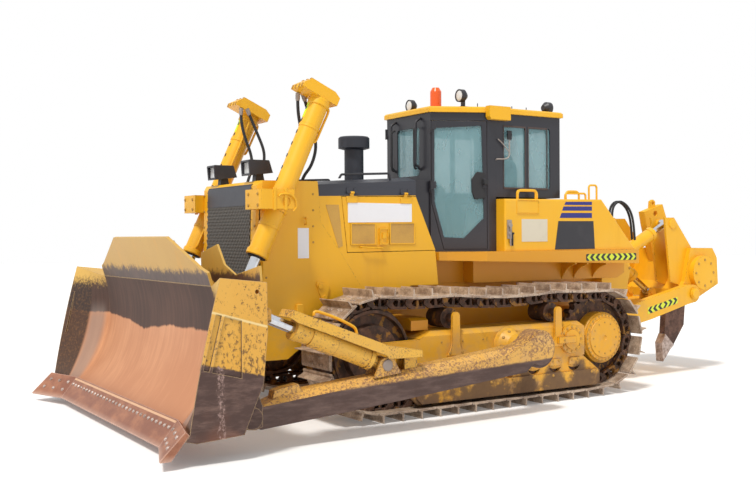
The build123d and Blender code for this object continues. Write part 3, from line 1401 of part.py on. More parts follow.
# Ripper beam: box beam with a round torque tube, a pocket for the shank and the mast plates
shank_outline = ((-1999, 2126), (-2360, 2232), (-2428, 2066), (-rear_reach, 830), (-2783, 558), (-2571, 290),
                 (-2398, 451), (-2422, 727), (-2042, 1939))
mast_outline = ((-1826, 2037), (-2001, 2038), (-2334, 1643), (-2334, 1300), (-2100, 1150), (-1932, 1198))
beam_outline = ((-2675, 1632), (-2768, 1500), (-2790, 1151), (-2284, 939), (-2168, 925), (-2060, 985),
                (-2050, 1100), (-2130, 1200), (-2240, 1640))
with BuildPart() as ripper_beam:
    add(plate(beam_outline, beam_half, 2 * beam_half))
    add(rod(-2436, 1310, 225, drum_half, -drum_half))
    for outer in (ripper_tilt_y + 130, ripper_tilt_y - 100, 130 - ripper_tilt_y, -ripper_tilt_y - 100):
        add(plate(mast_outline, outer, 30))
    for y in (ripper_tilt_y, -ripper_tilt_y):
        add(rod(*mast_pin, 62, y + 100, y + clevis_inner))
        add(rod(*mast_pin, 62, y - clevis_inner, y - 100))
    add(rod(beam_pin_x, beam_pin_z, ripper_pin_radius, ripper_arm_outer + 14, -ripper_arm_outer - 14))
    for outer in (ripper_arm_outer + 30, -ripper_arm_outer - 6):
        add(rod(beam_pin_x, beam_pin_z, 78, outer, outer - 24))
    with BuildSketch(side(shank_half + fit)):
        with BuildLine():
            Polyline(*shank_outline, close=True)
        make_face()
        offset(amount=fit, kind=Kind.INTERSECTION, mode=Mode.REPLACE)
    extrude(amount=2 * (shank_half + fit), mode=Mode.SUBTRACT)
ripper_beam.part.label = "ripper_beam"
export_step(ripper_beam.part, "parts/ripper_beam.step")

with BuildPart() as ripper_shank:
    add(plate(shank_outline, shank_half, 2 * shank_half))
    add(plate(((-2150, 2160), (-2250, 2190), (-2245, 2270), (-2205, 2295), (-2160, 2270)), 22, 44))
    add(rod(-2201, 2245, 24, 30, -30), mode=Mode.SUBTRACT)
    add(rod(-2218, 2103, 38, shank_half + 1, -shank_half - 1), mode=Mode.SUBTRACT)
ripper_shank.part.label = "ripper_shank"
export_step(ripper_shank.part, "parts/ripper_shank.step")

with BuildPart() as shank_tip:
    add(plate(((-2571, 290), (-2398, 451), (-2329, 329), (-2351, 74), (-2501, 238)), shank_half + 12,
              2 * (shank_half + 12)))
shank_tip.part.label = "shank_tip"
export_step(shank_tip.part, "parts/shank_tip.step")

# Ripper cylinders: tilt pair up to the mast, lift pair down to the arms
with BuildPart() as ripper_tilt_tubes:
    add(tube_part(ripper_foot, mast_pin, ripper_tilt_y, ripper_tube_radius, ripper_rod_radius, 140, 600, 320, 52))
    add(rod(*ripper_foot, 60, ripper_tilt_y + eye_half, ripper_tilt_y - eye_half))
    add(rod(*ripper_foot, 34 + fit, ripper_tilt_y + eye_half + 1, ripper_tilt_y - eye_half - 1), mode=Mode.SUBTRACT)
    mirror(about=Plane.XZ)
ripper_tilt_tubes.part.label = "ripper_tilt_tubes"
export_step(ripper_tilt_tubes.part, "parts/ripper_tilt_tubes.step")

with BuildPart() as ripper_tilt_rods:
    add(rod_part(ripper_foot, mast_pin, ripper_tilt_y, ripper_rod_radius, 340, 60, 36))
    mirror(about=Plane.XZ)
ripper_tilt_rods.part.label = "ripper_tilt_rods"
export_step(ripper_tilt_rods.part, "parts/ripper_tilt_rods.step")

lift_rod_bar = 42
with BuildPart() as ripper_lift_tubes:
    add(tube_part(ripper_foot, arm_lug, ripper_lift_y, ripper_tube_radius, lift_rod_bar, 140, 520, 74, 50))
    add(rod(*ripper_foot, 60, ripper_lift_y + eye_half, ripper_lift_y - eye_half))
    add(rod(*ripper_foot, 34 + fit, ripper_lift_y + eye_half + 1, ripper_lift_y - eye_half - 1), mode=Mode.SUBTRACT)
    mirror(about=Plane.XZ)
ripper_lift_tubes.part.label = "ripper_lift_tubes"
export_step(ripper_lift_tubes.part, "parts/ripper_lift_tubes.step")

with BuildPart() as ripper_lift_rods:
    add(rod_part(ripper_foot, arm_lug, ripper_lift_y, lift_rod_bar, 242, 52, 34))
    mirror(about=Plane.XZ)
ripper_lift_rods.part.label = "ripper_lift_rods"
export_step(ripper_lift_rods.part, "parts/ripper_lift_rods.step")
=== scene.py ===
import json
import math
import bmesh
import bpy
import numpy as np
from mathutils import Matrix, Vector


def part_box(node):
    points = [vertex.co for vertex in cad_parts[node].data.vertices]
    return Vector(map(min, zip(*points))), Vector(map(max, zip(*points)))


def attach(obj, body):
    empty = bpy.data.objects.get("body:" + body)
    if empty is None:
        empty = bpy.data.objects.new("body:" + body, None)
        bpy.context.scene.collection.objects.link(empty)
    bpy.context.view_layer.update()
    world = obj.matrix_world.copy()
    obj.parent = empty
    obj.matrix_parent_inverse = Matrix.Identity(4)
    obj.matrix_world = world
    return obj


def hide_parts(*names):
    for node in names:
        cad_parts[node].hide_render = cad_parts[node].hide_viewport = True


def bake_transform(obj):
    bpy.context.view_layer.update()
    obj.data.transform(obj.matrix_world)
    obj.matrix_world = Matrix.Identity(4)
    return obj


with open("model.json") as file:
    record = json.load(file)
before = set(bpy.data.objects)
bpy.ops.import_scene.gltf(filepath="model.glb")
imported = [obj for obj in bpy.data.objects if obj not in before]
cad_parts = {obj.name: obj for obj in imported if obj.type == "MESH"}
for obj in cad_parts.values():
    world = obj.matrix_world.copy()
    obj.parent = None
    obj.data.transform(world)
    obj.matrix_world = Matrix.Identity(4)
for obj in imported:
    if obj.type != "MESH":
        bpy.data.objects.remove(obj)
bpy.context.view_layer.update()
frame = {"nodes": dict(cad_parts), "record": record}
nodes = frame["nodes"]
MM = 0.001
AXLE = sum(corner.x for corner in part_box("sprockets")) / 2


def at(x, y, z):
    """Point in metres from millimetres: x forward of the sprocket axle, y left, z up."""
    return np.array([AXLE + x * MM, y * MM, z * MM])


# Camera at the photograph's view: solved place, turn and focal length for a frame 756 pixels wide
EYE = at(8162.1, 9352.8, 1818.5)
YAW, PITCH, ROLL = -2.13883, -0.01025, -0.00576
FOCAL, FRAME_WIDTH, SENSOR = 984.43, 756, 36.0
CENTRE_OFF = (2.8, -0.4)


def make_camera():
    """Looks along (cos yaw cos pitch, sin yaw cos pitch, sin pitch), turned by roll about that line."""
    forward = Vector((math.cos(YAW) * math.cos(PITCH), math.sin(YAW) * math.cos(PITCH), math.sin(PITCH)))
    right = forward.cross(Vector((0, 0, 1))).normalized()
    up = right.cross(forward)
    turned_right = math.cos(ROLL) * right + math.sin(ROLL) * up
    turned_up = -math.sin(ROLL) * right + math.cos(ROLL) * up
    data = bpy.data.cameras.new("camera")
    data.sensor_width = SENSOR
    data.lens = FOCAL / FRAME_WIDTH * SENSOR
    data.shift_x = -CENTRE_OFF[0] / FRAME_WIDTH
    data.shift_y = CENTRE_OFF[1] / FRAME_WIDTH
    data.clip_end = 200
    camera = bpy.data.objects.new("camera", data)
    bpy.context.scene.collection.objects.link(camera)
    facing = Matrix((turned_right, turned_up, -forward)).transposed().to_4x4()
    facing.translation = EYE
    camera.matrix_world = facing
    bpy.context.scene.camera = camera


make_camera()


# Forms: (vertices, [polygons, one array for each number of corners])
def joined(forms):
    """One form from several."""
    verts, groups, start = [], [], 0
    for points, faces in forms:
        verts.append(points)
        groups += [face + start for face in faces]
        start += len(points)
    return np.concatenate(verts), groups


def walls_of(rings, sides):
    """Four-cornered faces between each ring of points and the next."""
    ring = np.arange(sides)
    after = np.roll(ring, -1)
    steps = np.arange(rings - 1)[:, None] * sides
    return np.stack([ring + steps, after + steps, after + steps + sides, ring + steps + sides], 2).reshape(-1, 4)


def closed(points, rings, sides):
    """Form over rings of points, with walls from ring to ring and a face at each end."""
    ring = np.arange(sides)
    return points, [walls_of(rings, sides), ring[None, ::-1], ring[None] + (rings - 1) * sides]


def prism(outline, y_from, y_to):
    """Outline of (x, z) corners carried straight across from y_from to y_to, closed at both ends."""
    flat = np.asarray(outline, float)
    count = len(flat)
    ends = [np.stack([flat[:, 0], np.full(count, y), flat[:, 1]], 1) for y in (y_from, y_to)]
    return closed(np.concatenate(ends), 2, count)


def box_form(low, high):
    """Box between two corners."""
    (x0, y0, z0), (x1, y1, z1) = low, high
    return prism(((x0, z0), (x1, z0), (x1, z1), (x0, z1)), y0, y1)


def turned(profile, sides):
    """Profile of (radius, height) turned about z: ring k is radius_k (cos t, sin t), closed at both ends."""
    rings = np.asarray(profile, float)
    turn = np.arange(sides) * 2 * np.pi / sides
    points = np.stack([np.outer(rings[:, 0], np.cos(turn)), np.outer(rings[:, 0], np.sin(turn)),
                       np.repeat(rings[:, 1:], sides, 1)], 2).reshape(-1, 3)
    return closed(points, len(rings), sides)


def tube(path, radius, sides):
    """Rings of one radius carried along a path, square to it; each ring's side is turned on from the last."""
    path = np.asarray(path, float)
    along = np.gradient(path, axis=0)
    along /= np.linalg.norm(along, axis=1)[:, None]
    first = np.cross(along[0], (0, 0, 1.0) if abs(along[0][2]) < 0.9 else (1.0, 0, 0))
    sideways = [first / np.linalg.norm(first)]
    for step in along[1:]:
        kept = sideways[-1] - step * (sideways[-1] @ step)
        sideways.append(kept / np.linalg.norm(kept))
    sideways = np.array(sideways)
    third = np.cross(along, sideways)
    turn = np.arange(sides) * 2 * np.pi / sides
    points = path[:, None] + radius * (np.cos(turn)[None, :, None] * sideways[:, None]
                                       + np.sin(turn)[None, :, None] * third[:, None])
    return closed(points.reshape(-1, 3), len(path), sides)


def repeated(form, origins, x_axes, z_axes):
    """Copies of a form: point p goes to origin + px x + py y + pz z, with y square to x and z."""
    points, faces = form
    origins, x_axes, z_axes = (np.atleast_2d(np.asarray(a, float)) for a in (origins, x_axes, z_axes))
    count = len(origins)
    x_axes = np.broadcast_to(x_axes, (count, 3))
    z_axes = np.broadcast_to(z_axes, (count, 3))
    x_axes = x_axes / np.linalg.norm(x_axes, axis=1)[:, None]
    z_axes = z_axes - x_axes * np.sum(z_axes * x_axes, 1)[:, None]
    z_axes = z_axes / np.linalg.norm(z_axes, axis=1)[:, None]
    axes = np.stack([x_axes, np.cross(z_axes, x_axes), z_axes], 1)
    placed = origins[:, None] + np.einsum("pk,nkc->npc", points, axes)
    starts = np.arange(count) * len(points)
    return placed.reshape(-1, 3), [(face[None] + starts[:, None, None]).reshape(-1, face.shape[1])
                                   for face in faces]


SHARP_ANGLE = 32
AS_DRAWN, MIRRORED, BOTH = 1, -1, 0
SIDES = (("left", AS_DRAWN), ("right", MIRRORED))


def placed(form, side):
    """The form as drawn, its mirror image across the machine's middle, or both in one."""
    points, faces = form
    image = points * (1, -1, 1), [face[:, ::-1] for face in faces]
    return {AS_DRAWN: form, MIRRORED: image}.get(side) or joined([form, image])


def piece(name, form, finish, slot=None, body="tractor", side=BOTH, bevel=0, stands_for=()):
    """Makes a form in millimetres a piece that rides on a body, with outward faces and smooth curved parts.
    Its slot argument is not used."""
    points, groups = placed(form, side)
    points = points * MM + (AXLE, 0, 0)
    mesh = bpy.data.meshes.new(name)
    mesh.vertices.add(len(points))
    mesh.vertices.foreach_set("co", np.asarray(points, np.float32).ravel())
    sizes = np.concatenate([np.full(len(face), face.shape[1]) for face in groups])
    mesh.loops.add(int(sizes.sum()))
    mesh.loops.foreach_set("vertex_index", np.concatenate([face.ravel() for face in groups]).astype(np.int32))
    mesh.polygons.add(len(sizes))
    mesh.polygons.foreach_set("loop_start", (np.cumsum(sizes) - sizes).astype(np.int32))
    mesh.polygons.foreach_set("use_smooth", np.ones(len(sizes), bool))
    mesh.update(calc_edges=True)
    working = bmesh.new()
    working.from_mesh(mesh)
    bmesh.ops.recalc_face_normals(working, faces=working.faces)
    working.to_mesh(mesh)
    working.free()
    mesh.set_sharp_from_angle(angle=math.radians(SHARP_ANGLE))
    shown = bpy.data.objects.new(name, mesh)
    bpy.context.scene.collection.objects.link(shown)
    mesh.materials.append(FINISHES[finish])
    if bevel:
        rounding = shown.modifiers.new("rounding", "BEVEL")
        rounding.width = bevel
        rounding.segments = 2
        rounding.limit_method = "ANGLE"
    if body:
        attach(shown, body)
    if stands_for:
        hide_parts(*stands_for)
    return shown


# Shader sockets that take arithmetic, and materials made of them
BEVEL_SAMPLES = 4
BUMP_STRENGTH = 0.6
FINISHES = {}


class Level:
    """A number that varies over the surface; operators on it add Math nodes."""

    def __init__(self, tree, socket):
        self.tree = tree
        self.socket = socket

    def math(self, operation, *terms, clamp=False):
        node = self.tree.nodes.new("ShaderNodeMath")
        node.operation = operation
        node.use_clamp = clamp
        for slot_in, term in zip(node.inputs, terms):
            if isinstance(term, Level):
                self.tree.links.new(term.socket, slot_in)
            else:
                slot_in.default_value = term
        return Level(self.tree, node.outputs[0])

    def __add__(self, other):
        return self.math("ADD", self, other)

    def __sub__(self, other):
        return self.math("SUBTRACT", self, other)

    def __mul__(self, other):
        return self.math("MULTIPLY", self, other)

    def __rsub__(self, other):
        return self.math("SUBTRACT", other, self)

    def __gt__(self, other):
        return self.math("GREATER_THAN", self, other)

    def __abs__(self):
        return self.math("ABSOLUTE", self)

    __radd__ = __add__
    __rmul__ = __mul__

    def sine(self):
        return self.math("SINE", self)

    def sign(self):
        return self.math("SIGN", self)

    def fraction(self):
        return self.math("FRACT", self)

    def held(self):
        """Kept between 0 and 1."""
        return self.math("ADD", self, 0, clamp=True)

    def over(self, low, high):
        """Rises smoothly from 0 at low to 1 at high."""
        node = self.tree.nodes.new("ShaderNodeMapRange")
        node.interpolation_type = "SMOOTHSTEP"
        self.tree.links.new(self.socket, node.inputs["Value"])
        node.inputs["From Min"].default_value = low
        node.inputs["From Max"].default_value = high
        return Level(self.tree, node.outputs[0])


def tone(code):
    """Colour from a six-digit sRGB code, as the linear values that shaders take."""
    parts = [int(code[i:i + 2], 16) / 255 for i in (0, 2, 4)]
    return tuple(p / 12.92 if p < 0.04045 else ((p + 0.055) / 1.055) ** 2.4 for p in parts) + (1.0,)


def material(make):
    """Makes the finish that a function describes, under the function's name; pieces ask for it by that name."""
    make(Finish(make.__name__))
    return make


class Finish:
    """A material on the object's own coordinates."""

    def __init__(self, name):
        self.material = FINISHES[name] = bpy.data.materials.new(name)
        self.material.use_nodes = True
        self.tree = self.material.node_tree
        self.shader = self.tree.nodes["Principled BSDF"]
        self.place = self.node("ShaderNodeTexCoord").outputs["Object"]
        parts = self.node("ShaderNodeSeparateXYZ", inputs={"Vector": self.place}).outputs
        self.x, self.y, self.z = (Level(self.tree, part) for part in parts)

    def node(self, kind, settings=None, inputs=None):
        """Any node: its settings first, then the values or links of its sockets."""
        made = self.tree.nodes.new(kind)
        for key, value in (settings or {}).items():
            setattr(made, key, value)
        self.feed(made, inputs or {})
        return made

    def feed(self, node, values):
        """Links or sets a node's sockets."""
        for key, value in values.items():
            if isinstance(value, Level):
                value = value.socket
            if isinstance(value, bpy.types.NodeSocket):
                self.tree.links.new(value, node.inputs[key])
            else:
                node.inputs[key].default_value = value

    def noise(self, scale, detail=3.0, rough=0.55, stretch=None):
        """Fractal noise, with the coordinates scaled along each axis where stretch says so."""
        source = self.place
        if stretch:
            source = self.node("ShaderNodeMapping", inputs={"Vector": source, "Scale": stretch}).outputs[0]
        made = self.node("ShaderNodeTexNoise", inputs={"Vector": source, "Scale": scale, "Detail": detail,
                                                       "Roughness": rough})
        return Level(self.tree, made.outputs[0])

    def rounded_normal(self, radius):
        """Normal that turns smoothly over sharp edges, within a radius."""
        return self.node("ShaderNodeBevel", {"samples": BEVEL_SAMPLES}, {"Radius": radius}).outputs[0]

    def edges(self, radius):
        """Near 1 on sharp edges, 0 on open surface."""
        flat = self.node("ShaderNodeNewGeometry").outputs["True Normal"]
        lined = self.node("ShaderNodeVectorMath", {"operation": "DOT_PRODUCT"},
                          {0: flat, 1: self.rounded_normal(radius)})
        return (1 - Level(self.tree, lined.outputs["Value"])).over(0.01, 0.25)

    def faces(self, axis):
        """How far the surface faces along an axis: 0, 1 or 2."""
        flat = self.node("ShaderNodeNewGeometry").outputs["Normal"]
        return Level(self.tree, self.node("ShaderNodeSeparateXYZ", inputs={"Vector": flat}).outputs[axis])

    def mix(self, low, high, share):
        """Colour from low at share 0 to high at share 1."""
        low, high = (tone(colour) if isinstance(colour, str) else colour for colour in (low, high))
        made = self.node("ShaderNodeMix", {"data_type": "RGBA"}, {"Factor": share, 6: low, 7: high})
        return made.outputs[2]

    def lay(self, colour, share):
        """Lays a colour over the finish's own, as far as share."""
        self.colour = self.mix(self.colour, colour, share)

    def done(self, roughness=0.5, metallic=0.0, height=None, depth=0.002, bevel=0.004, **others):
        """Feeds the shader; height drives a bump laid over rounded edges."""
        normal = {"Normal": self.rounded_normal(bevel)} if bevel else {}
        if height is not None:
            bump = self.node("ShaderNodeBump", inputs={"Height": height, "Distance": depth,
                                                       "Strength": BUMP_STRENGTH, **normal})
            normal = {"Normal": bump.outputs[0]}
        self.feed(self.shader, {"Base Color": self.colour, "Roughness": roughness, "Metallic": metallic,
                                **normal, **others})


# Finishes
YELLOW, YELLOW_FADED, YELLOW_SHADE = "EDB118", "EEC456", "DA990F"
DRY_SOIL, RUST, DARK_BROWN, BROWN = "B08F6E", "4A2A1C", "3E281F", "553A2E"
CHARCOAL, SLATE = "26252B", "34363F"
WING_START = 1.5  # how far out the blade's wings start, in metres


def painted(finish, ground, worn=0.5, dusty=1.0, fade=YELLOW_FADED):
    """Yellow paint: faded in patches, streaked down, dusty near the ground, chipped to rust on its edges."""
    patches = finish.noise(0.9, 4)
    streaks = finish.noise(3.0, 5, stretch=(2.5, 2.5, 0.25))
    grime = finish.noise(5.0, 6, 0.65)
    finish.colour = finish.mix(ground, fade, patches.over(0.45, 0.85) * 0.45)
    finish.lay(YELLOW_SHADE, streaks.over(0.5, 0.8) * 0.35)
    low = (1 - finish.z.over(0.1, 1.3)) * dusty
    up = finish.faces(2).over(0.5, 1.0) * dusty
    dust = (grime.over(0.42, 0.75) * (low * 0.75 + up * 0.25 + 0.06)).held()
    finish.lay(DRY_SOIL, dust)
    specks = finish.noise(42.0, 4, 0.7)
    chips = ((finish.edges(0.012) * 0.55 + low * 0.12 + specks * 1.0) > (1.14 - 0.12 * worn))
    finish.lay(RUST, chips * 0.85)
    rough = 0.36 + dust * 0.4 + patches * 0.12
    return rough, grime * 0.5 - chips * 0.5


@material
def body_paint(finish):
    """The machine's yellow."""
    rough, height = painted(finish, YELLOW)
    finish.done(rough, height=height, depth=0.001)


@material
def frame_paint(finish):
    """The same yellow low on the machine, where soil and rust cover more of it."""
    rough, height = painted(finish, "DFA01A", 1.6, 1.3)
    soil = finish.noise(3.2, 6, 0.62)
    cover = (soil * 1.0 + (1 - finish.z.over(0.15, 0.62)) * 0.32).over(0.62, 0.78)
    finish.lay("5A4436", cover * 0.9)
    finish.done(rough + cover * 0.3, height=height + soil * 0.6, depth=0.003)


@material
def hood_paint(finish):
    """Yellow sheet with a slate band along the shoulders and over the crown."""
    rough, height = painted(finish, YELLOW)
    forward = finish.x - AXLE
    line = 2.250 - (forward - 2.192) * (0.027 / 1.167)
    band = (finish.z - line) > 0
    finish.lay(SLATE, band)
    finish.done(rough, height=height, depth=0.001)


@material
def dark_paint(finish):
    """Charcoal, dusty and paler on its edges."""
    dust = finish.noise(6.0, 5).over(0.5, 0.8)
    finish.colour = finish.mix(CHARCOAL, "4A464A", dust * 0.4 + finish.edges(0.008) * 0.4)
    finish.done(0.42 + dust * 0.2, height=finish.noise(120.0, 2), depth=0.0004)


@material
def cab_paint(finish):
    """Charcoal of the cab, browner towards its foot."""
    dust = finish.noise(2.2, 5).over(0.5, 0.85)
    low = 1 - finish.z.over(1.7, 2.2)
    finish.colour = finish.mix("26262D", "51474A", (dust * 0.25 + low * 0.2 + finish.edges(0.01) * 0.35).held())
    finish.done(0.34 + dust * 0.25, height=finish.noise(160.0, 2), depth=0.0003)


@material
def shaded_hull_paint(finish):
    """Yellow painted darker as painted shade under the decks, dusty towards the belly."""
    rough, height = painted(finish, "DB9712", 0.4, 0.8, "E3AC3A")
    finish.done(rough, height=height, depth=0.001)


@material
def arm_paint(finish):
    """Beige-yellow paint of the tilt cylinder and its guard, speckled all over with chips."""
    rough, height = painted(finish, "DDAA3F", 1.4, 0.6, "DEC084")
    specks = finish.noise(48.0, 6, 0.8)
    patches = finish.noise(3.5, 4)
    chips = (specks + patches * 0.35).over(0.72, 0.76)
    finish.lay("6B4A3C", chips * 0.85)
    finish.done(rough + 0.1, height=height - chips * 0.6, depth=0.0012)


@material
def worn_beam(finish):
    """Push arm: paint left on the upper bevel and top, bare brown steel on the scraped flank."""
    rough, height = painted(finish, "D5A24A", 2.2, 0.8, "DDB77E")
    specks = finish.noise(44.0, 6, 0.8)
    finish.lay("7A5440", (specks + finish.noise(2.6, 4) * 0.4).over(0.70, 0.76) * 0.85)
    forward = finish.x - AXLE
    ridge = 0.55 - (forward - 1.75) * 0.045
    scrape = finish.noise(7.0, 6, 0.6, stretch=(0.35, 1, 1))
    flank = (ridge - finish.z + (scrape - 0.5) * 0.03).over(-0.012, 0.012)
    outer = abs(finish.faces(1)).over(0.75, 0.9)
    steel = finish.mix("4E3B36", "6F5A53", finish.noise(16.0, 6, 0.65, stretch=(0.2, 1, 1)).over(0.4, 0.8))
    under = (1 - finish.faces(2)).over(1.2, 1.8)
    bare = (flank * outer + under * 0.8).held()
    finish.lay(steel, bare)
    finish.done(rough + bare * 0.08, bare * 0.35, height + scrape * 0.5, 0.0015, 0.008)


@material
def track_steel(finish):
    """Bright worn steel with dry soil in the low places."""
    soil = finish.noise(9.0, 6, 0.65)
    worn = finish.edges(0.02)
    finish.colour = finish.mix("5B463D", "A28D84", soil.over(0.35, 0.7))
    finish.lay("CDBBB3", worn * 0.7)
    finish.done(0.55 + soil * 0.2, 0.25, soil, 0.003)


@material
def shoe_steel(finish):
    """Shoe plates: pinkish grey, rubbed pale on the grouser tips."""
    soil = finish.noise(7.0, 6, 0.6)
    fine = finish.noise(60.0, 4, 0.7)
    finish.colour = finish.mix("86705F", "C8B39D", (soil * 0.7 + fine * 0.4).over(0.42, 0.68))
    finish.lay("5C463C", (soil + fine * 0.3).over(0.78, 0.9))
    finish.lay("DFD2CA", finish.edges(0.012) * 0.6)
    finish.done(0.52, 0.3, soil * 0.6 + fine * 0.4, 0.003)


@material
def link_steel(finish):
    """Chain links: dark rust with remnants of yellow paint."""
    soil = finish.noise(12.0, 6, 0.65)
    remnant = finish.noise(9.0, 4, 0.6).over(0.56, 0.62)
    finish.colour = finish.mix("3A2A22", "6B4B39", soil.over(0.35, 0.7))
    finish.lay("A9772A", remnant * 0.7)
    finish.lay("9C857A", finish.edges(0.008) * 0.45)
    finish.done(0.68, 0.15, soil, 0.003)


@material
def blade_face(finish):
    """Moldboard: dark brown above, polished by soil below a wavy line, scraped in a strip along the wings."""
    down = finish.noise(5.0, 6, 0.6, stretch=(1, 4, 0.35))
    broad = finish.noise(1.3, 3)
    fine = finish.noise(38.0, 6, 0.75)
    grain = (down * 0.5 + broad * 0.5).over(0.38, 0.68)
    brown = finish.mix(DARK_BROWN, BROWN, grain)
    forward = finish.x - AXLE
    across_y = abs(finish.y)
    line = 0.905 + abs(finish.y + 0.35) * 0.07 + (broad - 0.5) * 0.16
    polished = (line - finish.z + (down - 0.5) * 0.03 + (fine - 0.5) * 0.02).over(-0.012, 0.012)
    salmon = finish.mix("C08259", "D2966C", grain)
    salmon = finish.mix(salmon, "9A6244", (0.42 - finish.z + (down - 0.5) * 0.2).over(0.0, 0.3) * 0.45)
    colour = finish.mix(brown, salmon, polished)
    painted(finish, "D9AE58", 2.0, 0.4)
    upper_paint = finish.colour
    wing_top = (finish.z + (fine - 0.5) * 0.35).over(1.26, 1.40) * (across_y > WING_START)
    strip = (1 - abs(across_y - 1.66).over(0.05, 0.13)) * (1 - finish.z.over(0.9, 1.15))
    colour = finish.mix(colour, "8D8078", strip * 0.6)
    # Outer parts of the wings' faces darkened almost black: painted shade, flecked with rust brown.
    wing_painted_shade = finish.mix("2E1F19", "6B4A2A", fine.over(0.45, 0.72))
    colour = finish.mix(colour, wing_painted_shade, (across_y - 1.74).over(0.0, 0.04) * 0.92)
    outside = (finish.faces(1) * finish.y.sign()).over(0.6, 0.8) * (across_y > WING_START)
    front = forward.over(4.70, 4.72) * (1 - outside)
    specks = finish.noise(34.0, 6, 0.8, stretch=(1, 1, 0.7))
    painted(finish, "D9A343", 3.0, 0.3, "E0B765")
    rusty = (specks + (1.15 - finish.z) * 0.10 + (5.0 - forward) * 0.06).over(0.55, 0.62)
    flank_yellow = finish.mix(finish.colour, "4A3026", rusty * 0.8)
    scraped = finish.noise(9.0, 6, 0.7, stretch=(0.5, 1, 2))
    flank_bare = finish.mix("46302A", "6E554C", scraped.over(0.4, 0.75))
    flank_bare = finish.mix(flank_bare, "8A5238", broad.over(0.5, 0.7) * 0.7)
    rubbed = (specks * (1 - abs(forward - 5.02).over(0.01, 0.12))).over(0.46, 0.6)
    flank_bare = finish.mix(flank_bare, "A98C84", rubbed * 0.8)
    # Pale lines along the edge of the wing's top plate and the top of its ledge: painted highlights.
    for height_at, start, lean in ((1.215, 5.083, 0.285), (0.768, 5.201, 0.26)):
        off_highlight_line = (abs(finish.z - height_at - (forward - start) * lean) + (fine - 0.5) * 0.012).over(0.006, 0.013)
        flank_yellow = finish.mix("E6CB8C", flank_yellow, off_highlight_line)
    below = (0.705 - finish.z + (forward - 4.74) * 0.24 + (specks - 0.5) * 0.05).over(-0.01, 0.01)
    finish.colour = finish.mix(flank_yellow, finish.mix(colour, upper_paint, wing_top * 0.9), front)
    finish.lay(finish.mix(flank_yellow, flank_bare, below), outside)
    finish.lay("D9B98A", finish.edges(0.014) * 0.6)
    shine = polished * front
    finish.done(0.66 - shine * 0.2, shine * 0.3, down * 0.5 + fine * 0.4, 0.0012, 0.008)


@material
def guard_face(finish):
    """Spill guard: faded paint worn through to brown along its foot, in a speckled and streaked edge."""
    down = finish.noise(6.0, 6, 0.6, stretch=(1, 3, 0.4))
    fine = finish.noise(40.0, 6, 0.8)
    rough, height = painted(finish, "C59A46", 2.0, 0.3, "D6B264")
    brown = finish.mix(DARK_BROWN, BROWN, down.over(0.35, 0.75))
    worn = (1.525 - finish.z + (down - 0.5) * 0.16 + (fine - 0.5) * 0.16).over(-0.02, 0.045)
    front = finish.faces(0).over(0.3, 0.6)
    finish.lay(brown, (worn * front).held())
    finish.lay("7B5335", (fine.over(0.6, 0.68) * front * 0.5).held())
    finish.lay("E4C060", finish.edges(0.014) * 0.7)
    finish.done(rough, height=height + fine * 0.3, depth=0.0012, bevel=0.006)


@material
def rail_paint(finish):
    """Rails: dark on the hood and cab, yellow on the tank."""
    on_tank = (1 - (finish.x - AXLE).over(0.9, 0.92)) * (1 - finish.z.over(2.5, 2.52))
    dirt = finish.noise(8.0, 5)
    finish.colour = finish.mix(CHARCOAL, YELLOW, on_tank)
    finish.done(dirt * 0.2 + 0.35, bevel=0)


@material
def edge_steel(finish):
    """Cutting edges: rose-brown rust, ground bright along the lip."""
    grain = finish.noise(7.0, 6, 0.65, stretch=(1, 0.6, 1))
    finish.colour = finish.mix("8D5B47", "AC7558", grain.over(0.35, 0.7))
    lip = (0.13 - finish.z).over(0, 0.05)
    finish.lay("D8B7A6", (finish.edges(0.02) * 0.7 + lip * 0.4).held())
    finish.done(0.5, 0.45, grain, 0.002, 0.006)


@material
def shank_steel(finish):
    """Ripper shank: rusty below, painted above."""
    grain = finish.noise(10.0, 6, 0.65)
    high = finish.z.over(0.95, 1.1)
    rusty = finish.mix("4A332B", "7A5B4D", grain.over(0.35, 0.7))
    finish.colour = finish.mix(rusty, YELLOW, high)
    finish.lay("A48E82", finish.edges(0.02) * 0.4 * (1 - high))
    finish.done(0.6, (1 - high) * 0.3, grain, 0.003, 0.01)


@material
def bright_tip(finish):
    """Steel ground bright by soil."""
    grain = finish.noise(18.0, 5, 0.65)
    finish.colour = finish.mix("8F7A70", "D2C2BA", grain.over(0.3, 0.7))
    finish.done(0.42, 0.5, grain, 0.003, 0.012)


@material
def chrome(finish):
    """Cylinder rods under a thin film of dirt."""
    film = finish.noise(14.0, 4)
    finish.colour = finish.mix("C9CCD2", "A7A39C", film.over(0.5, 0.8))
    finish.done(film * 0.12 + 0.1, 1.0, bevel=0.002)


def plain_paint(name, code, rough=0.4, vary=0.25):
    """One paint colour with faint dirt."""
    finish = Finish(name)
    dirt = finish.noise(8.0, 5)
    darker = tuple(part * 0.72 for part in tone(code)[:3]) + (1.0,)
    finish.colour = finish.mix(code, darker, dirt.over(0.5, 0.85) * vary)
    finish.done(dirt * 0.15 + rough, bevel=0)


@material
def tinted_glass(finish):
    """Blue-green panes, part clear and smeared."""
    smear = finish.noise(3.0, 4, stretch=(1, 1, 0.5))
    finish.colour = finish.mix("6F9FA8", "9CC4CB", smear)
    finish.done(0.06, bevel=0, Alpha=0.42 + smear * 0.1)


@material
def stack_steel(finish):
    """Sooty exhaust stack."""
    soot = finish.noise(5.0, 5, stretch=(1, 1, 0.4))
    finish.colour = finish.mix("22252F", "3C3F48", soot.over(0.4, 0.8))
    finish.done(0.5 + soot * 0.15, height=soot, depth=0.0006)


